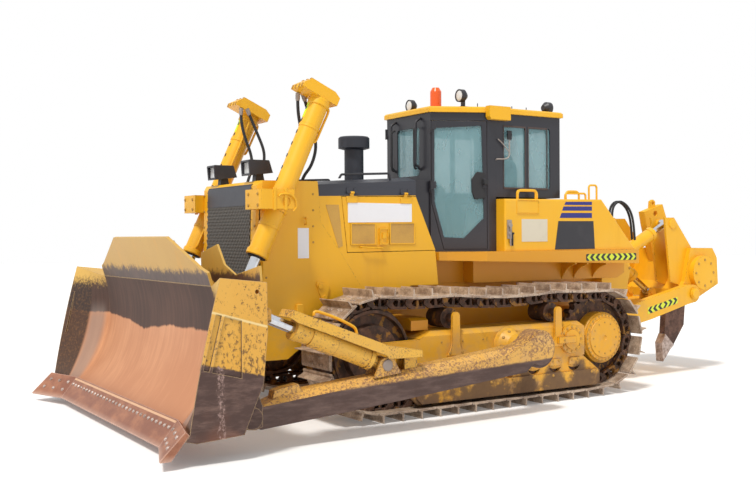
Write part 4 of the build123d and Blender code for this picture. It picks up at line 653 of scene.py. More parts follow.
@material
def mesh_paint(finish):
    """Faded yellow sheet with a fine pattern of punched holes."""
    waves = 2 * math.pi / 0.014
    wide = (finish.x * waves).sine()
    tall = (finish.z * waves).sine()
    holes = (wide * tall).over(0.1, 0.5)
    dirt = finish.noise(3.0, 5)
    finish.colour = finish.mix("D8A850", "C2954C", dirt.over(0.4, 0.7))
    # The holes are painted darker: painted shade seen through them.
    finish.lay("7E6238", holes * 0.7)
    finish.done(0.6, height=1 - holes, depth=0.001, bevel=0)


@material
def seat_fabric(finish):
    """Woven seat cloth: two crossing waves of threads."""
    threads = 2 * math.pi / 0.004
    weave = (finish.y * threads).sine() * ((finish.x + finish.z) * threads).sine()
    finish.colour = finish.mix("1E1F22", "34363B", weave.over(-0.6, 0.6))
    finish.done(0.9, height=weave, depth=0.0006, bevel=0)


def hazard_strip(name, middle, slope):
    """Lime ground with dark arrows: bands of |x - middle| - |z - line|, one every 90 mm."""
    finish = Finish(name)
    along = finish.x - (AXLE + middle[0] * MM)
    line = along * slope + middle[1] * MM
    band = ((abs(along) + abs(finish.z - line)) * (1 / 0.09)).fraction()
    dirt = finish.noise(7.0, 5)
    finish.colour = finish.mix("D6E23A", "A9A648", dirt.over(0.45, 0.8) * 0.5)
    finish.lay("26262A", band > 0.5)
    finish.done(dirt * 0.2 + 0.4, bevel=0)


for name, code, *how in (
        ("window_seal", "4B3D3A", 0.6), ("grille_wire", "6A6763", 0.6), ("pin_steel", "8F8178", 0.55, 0.6),
        ("worn_strip", "CFA583", 0.5, 0.6), ("bolt_paint", "B58A3E", 0.5, 0.6), ("slate_paint", "3A3D46", 0.4),
        ("rubber", "232326", 0.6), ("navy_stripe", "23277A", 0.35), ("white_sign", "E9EAEF", 0.45, 0.12),
        ("safety_lime", "D2EC1E", 0.45, 0.15), ("lamp_lens", "D9DADA", 0.12, 0.3),
        ("console_plastic", "202124", 0.7), ("beacon_lens", "E8601A", 0.15, 0.4), ("bolt_steel", "9A8F88", 0.4),
        ("pale_panel", "D6CDB8", 0.5, 0.3)):
    plain_paint(name, code, *how)
hazard_strip("deck_hazard", (-512, 1553), 0.0)
hazard_strip("arm_hazard", (-1580, 920), -0.213)

# Finishes of the record's slots where the names differ, and of nodes that differ from their slot
FINISH_OF_SLOT = {"worn_steel": "worn_beam", "glass": "tinted_glass", "exhaust_steel": "stack_steel",
                  "seat_cover": "seat_fabric", "chrome_rod": "chrome"}
NODES_WITH = {
    "hood_paint": ("engine_hood", "left_hood_side", "right_hood_side"),
    "frame_paint": ("track_frames", "final_drives", "arm_trunnions"),
    "shaded_hull_paint": ("main_frame", "decks", "equalizer_bar"),
    "link_steel": ("sprockets", "idlers", "track_rollers"),
    "arm_paint": ("tilt_guards", "tilt_tubes"),
    "blade_face": ("moldboard",), "guard_face": ("spill_guard",), "shank_steel": ("ripper_shank",),
    "bright_tip": ("shank_tip",), "rail_paint": ("grab_rails",)}


def dress_nodes():
    """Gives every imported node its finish, from the record's slot or by name."""
    slots = {row["node"]: row["material_slot"] for row in frame["record"]["subparts"]}
    finish_of = {node: finish for finish, group in NODES_WITH.items() for node in group}
    for name, shown in nodes.items():
        finish = finish_of.get(name, FINISH_OF_SLOT.get(slots[name], slots[name]))
        shown.data.materials.clear()
        shown.data.materials.append(FINISHES[finish])


dress_nodes()


ACROSS, BACK = (0, -1, 0), (-1, 0, 0)
FAR_LEFT, FAR_AHEAD = 2600, 6000


def on_surface(node, starts, direction):
    """Where lines from the starts along a direction first meet a node: points in millimetres, and normals."""
    points, normals = [], []
    for start in np.atleast_2d(np.asarray(starts, float)):
        met, point, normal, _ = nodes[node].ray_cast(Vector(at(*start)), Vector(direction))
        if met:
            points.append((np.array(point) - (AXLE, 0, 0)) / MM)
            normals.append(np.array(normal))
    return np.array(points).reshape(-1, 3), np.array(normals).reshape(-1, 3)


def side_of(node, x, z):
    """How far out a node's left face lies at (x, z)."""
    return on_surface(node, [(x, FAR_LEFT, z)], ACROSS)[0][0, 1]


def disc(centre_x, centre_z, radius, y_from, y_to, sides):
    """Cylinder across the machine: centre + radius (cos t, sin t), carried from y_from to y_to."""
    turn = np.arange(sides) * 2 * np.pi / sides
    return prism(np.stack([centre_x + radius * np.cos(turn), centre_z + radius * np.sin(turn)], 1), y_from, y_to)


def ring_of(centre, radius, count, start=0.0):
    """Points at equal steps round a circle square to y."""
    turn = np.arange(count) * 2 * np.pi / count + start
    return np.stack([centre[0] + radius * np.cos(turn), np.full(count, centre[1]),
                     centre[2] + radius * np.sin(turn)], 1)


def row_of(first, last, count):
    """Points or numbers at equal steps."""
    return np.linspace(first, last, count)


def hex_bolt(size):
    """Washer under a six-sided head whose corners are size from its middle, standing up from z = 0."""
    return joined([turned(((size * 1.3, -4), (size * 1.3, 2), (size * 1.15, 4)), 12),
                   turned(((size, 0), (size, size * 0.6), (size * 0.8, size * 0.78)), 6)])


def bolts(name, places, finish="bolt_paint", slot="body_paint", body="tractor"):
    """Bolts stood on the surface: places holds (node, starts, direction, size)."""
    forms = []
    for node, starts, direction, size in places:
        points, normals = on_surface(node, starts, direction)
        if len(points):
            forms.append(repeated(hex_bolt(size), points, np.cross(normals, (0.31, 0.52, 0.79)), normals))
    piece(name, joined(forms), finish, slot, body=body)


def rim(outline, width, y_from, y_to):
    """Band inside an outline: each inner corner lies width nearer to the middle of the corners."""
    outer = np.asarray(outline, float)
    middle = outer.mean(0)
    reach = np.linalg.norm(outer - middle, axis=1)[:, None]
    inner = middle + (outer - middle) * (1 - width / reach)
    count = len(outer)
    loops = [np.stack([flat[:, 0], np.full(count, y), flat[:, 1]], 1)
             for flat, y in ((outer, y_from), (outer, y_to), (inner, y_to), (inner, y_from))]
    return np.concatenate(loops), [walls_of(5, count) % (4 * count)]


SUNK = 3


def skin(node, outline, thick):
    """Thin plate on the side of a node, over an outline of (x, z) corners, set at the outline's middle."""
    flat = np.asarray(outline, float)
    face = side_of(node, *flat.mean(0))
    return prism(flat, face - SUNK, face + thick)


def plate(name, node, outline, finish, slot="body_paint", body="tractor", thick=3, **more):
    """Thin plate on the side of a node, as a piece."""
    piece(name, skin(node, outline, thick), finish, slot, body=body, **more)


def standing(profile, sides, spots, axis, start=(0, 1, 0)):
    """Turned forms that stand at the spots along an axis, their first corner towards start."""
    return repeated(turned(profile, sides), spots, start, axis)


# Track chains: the same sizes and path as the solid loops that they stand for
GAUGE, SHOE_HALF, SHOES = 1070, 280, 41
PIN_TO_PLATE, RAIL, GROUSER = 67, 65, 80
SPROCKET_Z, SPROCKET_TEETH = 647, 27
IDLER_X, IDLER_RADIUS = 3060, 513
IDLER_Z = GROUSER + PIN_TO_PLATE + IDLER_RADIUS
TOP_RUN = SPROCKET_Z + 500
ROLLER_XS = (490, 770, 1073, 1410, 1783, 2109, 2423)
CARRIER_XS = (740, 2135)
CARRIER_RISE, SAGS, SPAN_STEPS = 8, (12, 40, 18), 12
LINK_FACES = (64, 92, 120)
BUSHING, PIN = (36, 66), (22, 123)


def arc(centre, radius, first, last):
    """Points every 5 degrees from the first angle to the last, on a circle in (x, z)."""
    turn = np.radians(np.arange(first, last - 1, -5))
    return np.stack([centre[0] + radius * np.cos(turn), centre[1] + radius * np.sin(turn)], 1)


def track_path(radius):
    """Arcs round sprocket and idler, joined by the ground run and a top run that sags between its rests:
    on each span a point is start + t (end - start), lowered by 4 sag t (1 - t)."""
    carried = [(x, TOP_RUN + CARRIER_RISE * x / CARRIER_XS[-1]) for x in CARRIER_XS]
    rests = np.array([(0, SPROCKET_Z + radius), *carried, (IDLER_X, IDLER_Z + IDLER_RADIUS)])
    share = np.arange(1, SPAN_STEPS + 1)[None, :, None] / SPAN_STEPS
    sags = np.array(SAGS)[:, None, None] * np.array((0, 1))
    spans = rests[:-1, None] + share * (rests[1:, None] - rests[:-1, None]) - 4 * sags * share * (1 - share)
    lift_off = (ROLLER_XS[0] - 150, IDLER_Z - IDLER_RADIUS)
    return np.concatenate([arc((0, SPROCKET_Z), radius, 180, 90), spans.reshape(-1, 2),
                           arc((IDLER_X, IDLER_Z), IDLER_RADIUS, 85, -90), [lift_off],
                           arc((0, SPROCKET_Z), radius, 270, 180)])


def walked(points):
    """Distance along a path at each of its points."""
    return np.concatenate([[0], np.cumsum(np.linalg.norm(np.diff(points, axis=0), axis=1))])


def track_pins():
    """Pins at equal steps; every second tooth meets a pin, so the pitch gives the sprocket's pin circle."""
    radius = 490.0
    for _ in range(6):
        radius = walked(track_path(radius))[-1] / SHOES * SPROCKET_TEETH / (4 * math.pi)
    path = track_path(radius)
    along = walked(path)
    steps = np.arange(SHOES) * along[-1] / SHOES
    return np.stack([np.interp(steps, along, path[:, 0]), np.interp(steps, along, path[:, 1])], 1)


def make_tracks():
    """Shoes with bolt heads, and links with bushings and pins, one of each to a step between two pins."""
    pins = track_pins()
    ahead = np.roll(pins, -1, axis=0) - pins
    pitch = np.linalg.norm(ahead, axis=1).mean()
    origins = np.stack([pins[:, 0], np.zeros(SHOES), pins[:, 1]], 1)
    forward = np.stack([ahead[:, 0], np.zeros(SHOES), ahead[:, 1]], 1)
    outward = np.stack([-ahead[:, 1], np.zeros(SHOES), ahead[:, 0]], 1)
    low, top, tip = PIN_TO_PLATE - 20, PIN_TO_PLATE, PIN_TO_PLATE + GROUSER
    section = [(share * pitch, height) for share, height in (
        (0.02, low), (0.02, low + 8), (0.06, top), (0.155, top + 2), (0.18, top + 10), (0.195, tip - 4),
        (0.205, tip), (0.235, tip), (0.245, tip - 4), (0.26, top + 10), (0.285, top + 2), (0.92, top - 1),
        (0.97, top - 6), (0.985, low + 2), (0.96, low - 5), (0.9, low))]
    shoe_plate = prism(section, GAUGE - SHOE_HALF, GAUGE + SHOE_HALF)
    spots = [(share * pitch, GAUGE + side, top - 1) for share in (0.46, 0.80) for side in (-124, -66, 66, 124)]
    heads = repeated(turned(((15, -1), (15, 9), (12, 12)), 6), spots, (1, 0, 0), (0, 0, 1))
    shoe = joined([shoe_plate, heads])
    end = [(-40, -18), (-8, -46), (0.14 * pitch, -RAIL), (0.24 * pitch, -RAIL + 26), (0.13 * pitch, -4),
           (0.25 * pitch, 28), (0.30 * pitch, low), (0.12 * pitch, low), (0, 44), (-38, 22)]
    far_end = [(pitch - x, z) for x, z in end]
    link_parts = []
    for side in (-1, 1):
        inner, middle, outer = (GAUGE + side * off for off in LINK_FACES)
        link_parts += [
            prism(end, inner, middle), prism(far_end, middle, outer),
            *(prism([(share * pitch, z) for share, z in corners], GAUGE + side * near, GAUGE + side * far)
              for corners, near, far in (
                  (((0.10, -RAIL), (0.90, -RAIL), (0.90, -RAIL + 26), (0.10, -RAIL + 26)), 68, 116),
                  (((0.20, 27), (0.80, 27), (0.80, low), (0.20, low)), 72, 112),
                  (((0.42, -RAIL + 20), (0.58, -RAIL + 20), (0.55, 30), (0.45, 30)), 76, 110)))]
    link_parts += [disc(0, 0, radius, GAUGE - half, GAUGE + half, 12) for radius, half in (BUSHING, PIN)]
    for word, side in SIDES:
        for what, form, finish in (("shoes", shoe, "shoe_steel"), ("links", joined(link_parts), "link_steel")):
            piece(f"{word}_track_{what}", repeated(form, origins, forward, outward), finish, "track_steel",
                  side=side, stands_for=(f"{word}_track",) if what == "shoes" else ())


def make_bolts():
    """Bolts of the running gear, the hull, the cutting edges and the ripper's beam."""
    rollers = np.array([(x + off, 1500, 445) for x in ROLLER_XS for off in (-46, 46)])
    feet = np.array([(x + off, 1500, 628) for x in CARRIER_XS for off in (-78, 78)])
    bolts("running_gear_bolts", [
        ("track_frames", ring_of((545, 1500, 668), 136, 12), ACROSS, 12),
        ("final_drives", ring_of((0, 1500, SPROCKET_Z), 256, 30), ACROSS, 10),
        ("final_drives", ring_of((0, 1500, SPROCKET_Z), 176, 12), ACROSS, 8),
        ("track_frames", rollers, ACROSS, 14), ("track_frames", feet, ACROSS, 13),
        ("track_frames", row_of((240, 1500, 286), (2540, 1500, 286), 9), ACROSS, 12),
        ("track_frames", ring_of((IDLER_X, 1500, IDLER_Z), 84, 6, 0.5), ACROSS, 11),
        ("track_frames", row_of((700, 1500, 740), (2300, 1500, 740), 7), ACROSS, 9),
        ("arm_trunnions", ring_of((1450, 2500, 665), 152, 10), ACROSS, 14)], slot="track_steel")
    frame_side = np.concatenate([row_of((4400, 634, 1080), (4400, 634, 2260), 8),
                                 row_of((4400, 80, 960), (4400, 560, 960), 4)])
    bolts("hull_bolts", [
        ("radiator_guard", frame_side, BACK, 11),
        ("lift_yokes", [(4400, 815 + off, z) for off in (-105, 105) for z in (2120, 2225)], BACK, 14),
        ("ripper_bracket", [(-1100, 1200, z) for z in (900, 1150, 1400)], ACROSS, 15)])
    edge_spots = row_of((FAR_AHEAD, 50, 228), (FAR_AHEAD, 1455, 228), 15)
    bit_spots = [(FAR_AHEAD, y, z) for y in (1600, 1770, 1940) for z in (160, 236)]
    bolts("cutting_edge_bolts", [("cutting_edge", edge_spots, BACK, 15), ("end_bits", bit_spots, BACK, 16)],
          "bright_tip", "edge_steel", body="blade")
    bolts("ripper_beam_bolts", [("ripper_beam", ring_of((-2436, 1200, 1310), 170, 8), ACROSS, 14)],
          body="ripper_beam")


def make_door_dress():
    """Punched panels, plates, stripes and strips on the machine's sides."""
    door = "left_engine_door"
    for side, flip in SIDES:
        for word, outline in (("front", ((3010, 1727), (3010, 1953), (2697, 1953), (2697, 1727))),
                              ("rear", ((2534, 1730), (2534, 1960), (2205, 1960), (2205, 1730)))):
            body, face = f"{side}_engine_door", side_of(door, np.mean([x for x, _ in outline]), 1850)
            plate(f"{side}_{word}_mesh", door, outline, "mesh_paint", body=body, side=flip)
            piece(f"{side}_{word}_mesh_frame", rim(outline, 20, face - 2, face + 9), "body_paint", body=body,
                  side=flip, bevel=0.002)
    plate("door_sign", door, ((3036, 1958), (3036, 2162), (2248, 2158), (2248, 1966)), "white_sign",
          body=door, side=AS_DRAWN, bevel=0.001)
    plate("corner_mesh", "left_hood_side", ((3297, 2137), (3144, 2139), (3100, 1719), (3150, 1700)),
          "mesh_paint")
    stripes = [((192, 2203), (-224, 2209), (-224, 2170), (216, 2168)),
               ((227, 2149), (-224, 2154), (-224, 2104), (251, 2101)),
               ((259, 2074), (-223, 2077), (-223, 2018), (288, 2016))]
    piece("tank_stripes", joined([skin("side_tanks", stripe, 2) for stripe in stripes]), "navy_stripe",
          "body_paint")
    plate("tank_panel", "side_tanks", ((309, 1979), (-247, 1981), (-270, 1652), (365, 1650)), "dark_paint",
          "dark_paint", bevel=0.001)
    plate("tank_label", "side_tanks", ((863, 1745), (863, 2000), (479, 2000), (479, 1745)), "pale_panel",
          side=AS_DRAWN, bevel=0.001)
    plate("deck_strip", "decks", ((-95, 1513), (-95, 1593), (-929, 1593), (-929, 1513)), "deck_hazard")


HOSE_SIDES = 12


def hose(name, route, diameter, crossing):
    """Rubber hose: rings carried along the route's own NURBS line."""
    line = bpy.data.curves.new(name + "_line", "CURVE")
    line.dimensions = "3D"
    line.resolution_u = 14
    spline = line.splines.new("NURBS")
    spline.points.add(len(route) - 1)
    spline.points.foreach_set("co", np.array([(*at(*point), 1) for point in route]).ravel())
    spline.order_u = 3
    spline.use_endpoint_u = True
    guide = bpy.data.objects.new(name + "_line", line)
    mesh = bpy.data.meshes.new_from_object(guide)
    path = np.array([vertex.co for vertex in mesh.vertices])
    bpy.data.objects.remove(guide)
    bpy.data.meshes.remove(mesh)
    bpy.data.curves.remove(line)
    shown = piece(name, tube((path - (AXLE, 0, 0)) / MM, diameter / 2 / MM, HOSE_SIDES), "rubber",
                  "dark_paint", body=None, side=AS_DRAWN)
    start, end = (at(*point) for point in crossing)
    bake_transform(shown)


LIFT_LINES = (((3587, 672, 3240), (3594, 672, 3120), (3560, 655, 2930), (3480, 635, 2720), (3490, 610, 2560),
               (3550, 590, 2440), (3570, 585, 2364)),
              ((3526, 655, 3240), (3480, 650, 3130), (3414, 622, 2960), (3350, 600, 2793), (3346, 590, 2670),
               (3394, 575, 2520), (3470, 560, 2430), (3490, 555, 2364)))
RIPPER_LINE = ((-1000, 392, 1990), (-985, 398, 2090), (-1020, 404, 2200), (-1120, 410, 2250), (-1250, 410, 2190),
               (-1330, 410, 2080), (-1370, 408, 1930), (-1385, 408, 1745))


def make_hoses():
    """Two hoses to each lift cylinder, and two to each tilt cylinder of the ripper."""
    for side, flip in SIDES:
        for number, route in enumerate(LIFT_LINES, 1):
            hose(f"{side}_lift_hose_{number}", [(x, y * flip, z) for x, y, z in route], 0.032,
                 ((3590, 640 * flip, 3120), (3500, 590 * flip, 2440)))
        for number, shift in enumerate((0, 46), 1):
            hose(f"{side}_ripper_hose_{number}", [(x, (y + shift) * flip, z) for x, y, z in RIPPER_LINE], 0.030,
                 ((-1120, 410 * flip, 2250), (-1380, 410 * flip, 1850)))


# The left lift cylinder: its trunnion in (x, z), its direction down to the blade, and its place across
LIFT_FOOT = np.array([3880.0, 2150.0])
LIFT_DOWN = np.array([662.0, -1445.0]) / math.hypot(662, 1445)
ALONG_LIFT = (LIFT_DOWN[0], 0, LIFT_DOWN[1])
LIFT_Y = 815


def beside_lift(reach, out, y=LIFT_Y):
    """Point at a reach along the lift cylinder's line from its trunnion, out ahead of the line."""
    ahead = np.array([-LIFT_DOWN[1], LIFT_DOWN[0]])
    flat = LIFT_FOOT + reach * LIFT_DOWN + out * ahead
    return flat[0], y, flat[1]


def on_lift_side(corners, y_from, y_to):
    """Prism over corners of (reach, out) beside the lift cylinder."""
    return prism([beside_lift(reach, out)[::2] for reach, out in corners], y_from, y_to)


def smooth_line(points, steps=8):
    """Points of a curve through the corners: each span from p1 to p2 is the cubic whose ends lean along p2 - p0
    and p3 - p1."""
    corners = np.asarray(points, float)
    padded = np.concatenate([corners[:1], corners, corners[-1:]])
    share = (np.arange(steps) / steps)[None, :, None]
    a, b, c, d = (padded[i:len(padded) - 3 + i, None] for i in range(4))
    spans = 0.5 * (2 * b + (c - a) * share + (2 * a - 5 * b + 4 * c - d) * share ** 2
                   + (3 * b - a - 3 * c + d) * share ** 3)
    return np.concatenate([spans.reshape(-1, 3), corners[-1:]])


def rod(corners, radius, sides=8):
    """Round bar along a smooth line through the corners."""
    return tube(smooth_line(corners), radius, sides)


def make_pipes():
    """Pipes, collars and the scale of the lift cylinders, and the pipe over each tilt cylinder."""
    side_pipe = rod([beside_lift(*spot) for spot in (
        (-1085, -92), (-1075, -118), (-1040, -130), (-900, -128), (-760, -124), (-715, -116), (-700, -90))],
        13, 10)
    inner_pipe = rod([beside_lift(*spot) for spot in (
        (-1085, 20, 715), (-1050, 26, 700), (-700, 26, 700), (300, 26, 700), (470, 26, 700), (500, 20, 722))],
        12, 10)
    collars = [standing(profile, 28, [beside_lift(reach, 0)], ALONG_LIFT)
               for profile, reaches in ((((112, 0), (112, 44), (104, 52)), (-1090, 520)),
                                        (((105, 0), (105, 30)), (-820, 240))) for reach in reaches]
    piece("lift_pipes", joined([side_pipe, inner_pipe] + collars), "body_paint", body="lift_tubes",
          bevel=0.002)
    tilt_pipe = rod([(x, 1716, z) for x, z in (
        (3993, 1120), (3985, 1150), (3930, 1146), (3760, 1084), (3610, 1012), (3565, 975), (3550, 925))], 14, 10)
    piece("tilt_pipes", tilt_pipe, "body_paint", body="tilt_tubes")
    ticks = [on_lift_side(((reach, 90), (reach + 34, 90), (reach + 34, 101.5), (reach, 101.5)), 790, 812)
             for reach in range(-1000, -100, 130)]
    ground = on_lift_side(((-1040, 88), (-880, 88), (-880, 101), (-1040, 101)), 788, 826)
    piece("lift_ticks", joined(ticks), "dark_paint", body="lift_tubes")
    piece("lift_tick_ground", ground, "safety_lime", "body_paint", body="lift_tubes")


def pillow(middle, half, power):
    """Closed crowned form: x = a c(v) c(u), y = b c(v) s(u), z = h s(v), with each sine and cosine kept in sign
    and raised to a power below one, which fills the corners out."""
    def raised(values):
        return np.sign(values) * np.abs(values) ** power

    columns, rows = 40, 24
    turn = np.arange(columns) * 2 * np.pi / columns
    climb = np.linspace(-np.pi / 2, np.pi / 2, rows + 1)[1:-1]
    flat = np.stack([raised(np.cos(turn)), raised(np.sin(turn))], 1)
    rings = np.concatenate([flat[None] * raised(np.cos(climb))[:, None, None],
                            np.broadcast_to(raised(np.sin(climb))[:, None, None], (rows - 1, columns, 1))], 2)
    points = np.concatenate([rings.reshape(-1, 3), [(0, 0, -1), (0, 0, 1)]]) * half + middle
    ring = np.arange(columns)
    after = np.roll(ring, -1)
    last = (rows - 2) * columns
    low, high = len(points) - 2, len(points) - 1
    ends = np.concatenate([np.stack([after, ring, np.full(columns, low)], 1),
                           np.stack([ring + last, after + last, np.full(columns, high)], 1)])
    return points, [walls_of(rows - 1, columns), ends]


def make_seat():
    """Seat of pillows: each row holds a middle, half sizes and power; the bolsters stand on both sides."""
    bolsters = [((690, side * 216, 2158), (230, 36, 52), 0.6) for side in (-1, 1)]
    back_bolsters = [((455, side * 200, 2400), (62, 36, 220), 0.6) for side in (-1, 1)]
    rows = [((690, 0, 2130), (262, 236, 80), 0.5), ((415, 0, 2440), (70, 226, 300), 0.5),
            ((395, 0, 2745), (52, 130, 50), 0.6)] + bolsters + back_bolsters
    shown = piece("driver_seat", joined([pillow(*row) for row in rows]), "seat_fabric", "seat_cover",
                  side=AS_DRAWN, stands_for=("operator_seat",))


def make_lamps():
    """Lenses on the lamps, and the ring under the beacon."""
    head_lens = box_form((4004, 348, 2444), (4024, 510, 2556))
    piece("head_lamp_lenses", head_lens, "lamp_lens", "dark_paint", bevel=0.003)
    for word, start, facing in (("front", (1804, 500, 3390), 1), ("rear", (-229, 500, 3333), -1)):
        points, _ = on_surface("work_lamps", [start], (-facing, 0, 0))
        lens = standing(((62, -4), (62, 3), (50, 10), (20, 14)), 24, points, (facing, 0, 0))
        piece(f"{word}_work_lenses", lens, "lamp_lens", "dark_paint")
    ring = standing(((92, 0), (92, 14), (84, 20)), 28, [(1493, 100, 3266)], (0, 0, 1), (1, 0, 0))
    piece("beacon_ring", ring, "rubber", "dark_paint", side=AS_DRAWN)


def make_cab_trim():
    """Latch on each door, seals of the side windows, and grab bars."""
    for side, flip in SIDES:
        piece(f"{side}_door_latch", box_form((1246, 700, 2380), (1300, 752, 2440)), "rubber", "cab_paint",
              body=f"{side}_door", side=flip, bevel=0.006)
    seals = [rim(((front, 2342), (front, 3062), (rear, 3062), (rear, 2342)), 22, 712, 726)
             for front, rear in ((1006, 675), (640, 345))]
    piece("side_window_seals", joined(seals), "window_seal", "cab_paint", bevel=0.003)
    bar = rod([(1850, 215, 3040), (1888, 231, 3010), (1888, 231, 2900), (1888, 231, 2620), (1860, 231, 2570)],
              13, 10)
    piece("cab_grab_bars", bar, "rubber", "cab_paint")


def make_grille_mesh():
    """Crossing wires over the grille, each y = y0 + lean (z - foot), cut off at the frame, a dark backing under
    them, the blank band above, and studs round the frame."""
    foot, head, half, lean, step = 1010, 2128, 534, 0.58, 38
    shortest = 12
    starts = np.arange(-half - lean * (head - foot) + step / 2, half, step)
    low = np.maximum(0, (-half - starts) / lean)
    high = np.minimum(head - foot, (half - starts) / lean)
    keep = high - low > shortest
    ends = np.stack([low, high], 1)[keep]

    def front(z):
        return 4043 + (2131 - z) * 0.028

    z = foot + ends
    y = starts[keep, None] + lean * ends
    section = np.array([(-2, -3.5), (7, -3.5), (7, 3.5), (-2, 3.5)])
    points = np.stack([front(z)[..., None] + section[:, 0], y[..., None] + section[:, 1],
                       np.broadcast_to(z[..., None], z.shape + (4,))], 3)
    wires = joined([closed(wire.reshape(-1, 3), 2, 4) for wire in points])
    behind = wires[0] * (1, -1, 1) + (3, 0, 0), wires[1]
    piece("grille_wires", joined([wires, behind]), "grille_wire", "dark_paint", side=AS_DRAWN)
    backing = prism(((4026, foot), (front(foot) - 1, foot), (front(head) - 1, head), (4010, head)), -half, half)
    piece("grille_backing", backing, "dark_paint", side=AS_DRAWN)
    band = prism(((4020, 2126), (front(2126) + 9, 2126), (front(2318) + 5, 2318), (4010, 2318)),
                 -half - 4, half + 4)
    piece("grille_band", band, "slate_paint", "dark_paint", side=AS_DRAWN, bevel=0.002)
    studs = [(4300, side * y, z) for y, heights in ((512, row_of(2150, 2295, 2)), (558, row_of(1080, 2290, 13)))
             for side in (-1, 1) for z in heights]
    points, _ = on_surface("radiator_guard", studs, BACK)
    piece("grille_studs", standing(((7, -2), (7, 4), (4, 6)), 8, points, (1, 0, 0)), "bolt_paint",
          "dark_paint", side=AS_DRAWN)


def make_tank_dress():
    """Handles and hatch of the side tanks, strips on the ripper's arms, and a valve with its lever."""
    handles = [rod([(x, 800, z) for x, z in (
        (rear, 2225), (rear, 2292), (rear + 24, 2322), (rear + 60, 2330), (front - 60, 2330), (front - 24, 2322),
        (front, 2292), (front, 2225))], 13, 10) for rear, front in ((578, 862), (-77, 130))]
    piece("tank_handles", joined(handles), "body_paint")
    face = side_of("side_tanks", 760, 2000)
    hatch = [prism(((618, 2070), (920, 2070), (920, 2205), (618, 2205)), face - 3, face + 3),
             rim(((605, 2058), (933, 2058), (933, 2217), (605, 2217)), 14, face - 3, face + 8)]
    piece("tank_hatch", joined(hatch), "body_paint", bevel=0.002)
    face = side_of("ripper_arms", -1580, 920)
    strip = prism(((-1308, 818), (-1308, 898), (-1855, 1015), (-1855, 935)), face - 3, face + 3)
    piece("arm_strips", strip, "arm_hazard", "body_paint", body="ripper_arms")
    valves = [disc(1052, 1930, 26, 866, 905, 14), disc(1052, 1840, 20, 866, 898, 14),
              rod([(1052, 888, 1930), (1052, 902, 1890), (1048, 890, 1850), (1040, 884, 1760),
                   (1040, 884, 1700)], 9),
              box_form((1020, 862, 1780), (1078, 884, 1990))]
    piece("tank_valves", joined(valves), "bolt_steel", "chrome_rod", side=AS_DRAWN, bevel=0.003)
    lever = prism(((1000, 1700), (1014, 1700), (1018, 1850), (985, 1850), (985, 1830), (1000, 1826)), 868, 886)
    piece("tank_lever", lever, "rubber", "dark_paint", side=AS_DRAWN, bevel=0.003)


def make_hull_dress():
    """Label and hooks of the guard, fittings of the engine doors, pipes and straps of the yokes, and lugs."""
    plate("guard_label", "radiator_guard", ((3614, 1602), (3614, 1902), (3491, 1902), (3491, 1602)),
          "white_sign", thick=2)
    hook = rod([(3542, 722, 1936), (3542, 752, 1950), (3542, 756, 1985), (3542, 722, 2000)], 10)
    piece("guard_hooks", hook, "body_paint")
    door = side_of("left_engine_door", 2610, 1830)
    fittings = joined([
        rim(((2557, 1728), (2663, 1728), (2663, 1900), (2557, 1900)), 16, door - 3, door + 9),
        box_form((2590, door - 3, 1790), (2630, door + 14, 1850)),
        rod([(2895, door - 2, 1706), (2890, door + 24, 1705), (2870, door + 30, 1704), (2660, door + 30, 1692),
             (2642, door + 24, 1691), (2638, door - 2, 1690)], 8)])
    for side, flip in SIDES:
        piece(f"{side}_door_fittings", fittings, "body_paint", body=f"{side}_engine_door", side=flip,
              bevel=0.002)
    yoke_pipe = rod([(3960, 983, 2200), (3930, 984, 2222), (3850, 984, 2222), (3790, 984, 2180),
                     (3770, 981, 2110), (3800, 970, 2060)], 11)
    piece("yoke_pipes", yoke_pipe, "body_paint")
    straps = [box_form((x, 965, 2068), (x + 32, 984, 2284)) for x in (3868, 3984)]
    piece("yoke_straps", joined(straps), "body_paint", bevel=0.004)
    lugs = [prism(((3560, 1010), (3660, 1010), (3640, 1150), (3580, 1150)), 640, 742),
            prism(((2700, 1010), (2790, 1010), (2775, 1120), (2715, 1120)), 640, 735)]
    piece("hull_lugs", joined(lugs), "body_paint", bevel=0.006)


def make_blade_dress():
    """Floors of the wing pockets and the worn strip along the top of the cutting edge."""
    floors = [prism(((5070, 1210), (5178, 752), (5114, 740), (5004, 1184)), 1991, 2036),
              prism(((4994, 1192), (5104, 735), (4832, 664), (4832, 1150)), 1991, 2036)]
    piece("wing_pocket_floors", joined(floors), "blade_face", "worn_steel", body="blade")
    lip = on_surface("cutting_edge", [(FAR_AHEAD, 700, 270)], BACK)[0][0, 0]
    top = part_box("cutting_edge")[1].z / MM
    strip = prism(((lip - 4, top - 26), (lip + 3, top - 28), (lip - 8, top - 12), (lip - 20, top - 12)),
                  -1519, 1519)
    piece("edge_strip", strip, "worn_strip", "edge_steel", body="blade", side=AS_DRAWN)


def make_cab_details():
    """Latch cover on each door, wipers, mirrors and the cab's antennas."""
    cover = prism(((0, 0), (128, 12), (128, 300), (30, 306), (-30, 222), (-26, 84)), -4, 20)
    door_line = (1215 - 1800, 712 - 430, 0)
    for side, flip in SIDES:
        piece(f"{side}_latch_cover", repeated(cover, [(1368, 650, 2222)], door_line, (0, 0, 1)), "rubber",
              "cab_paint", body=f"{side}_door", side=flip, bevel=0.006)
    wiper = rod([(1095, 738, 2900), (1030, 742, 2850), (940, 744, 2760)], 6)
    stay = rod([(1108, 716, 2668), (1104, 738, 2675), (1010, 742, 2680), (950, 742, 2700), (934, 742, 2760),
                (934, 742, 2960)], 8)
    piece("side_wipers", joined([wiper, stay]), "bolt_steel", "chrome_rod")
    mirror = box_form((905, 736, 2900), (962, 752, 3000))
    whips = [tube([(x, 440, 3200), (x, 440, 3330)], 5, 8) for x in (1150, 640, 420)]
    piece("cab_fittings", joined([mirror] + whips), "rubber", "cab_paint")


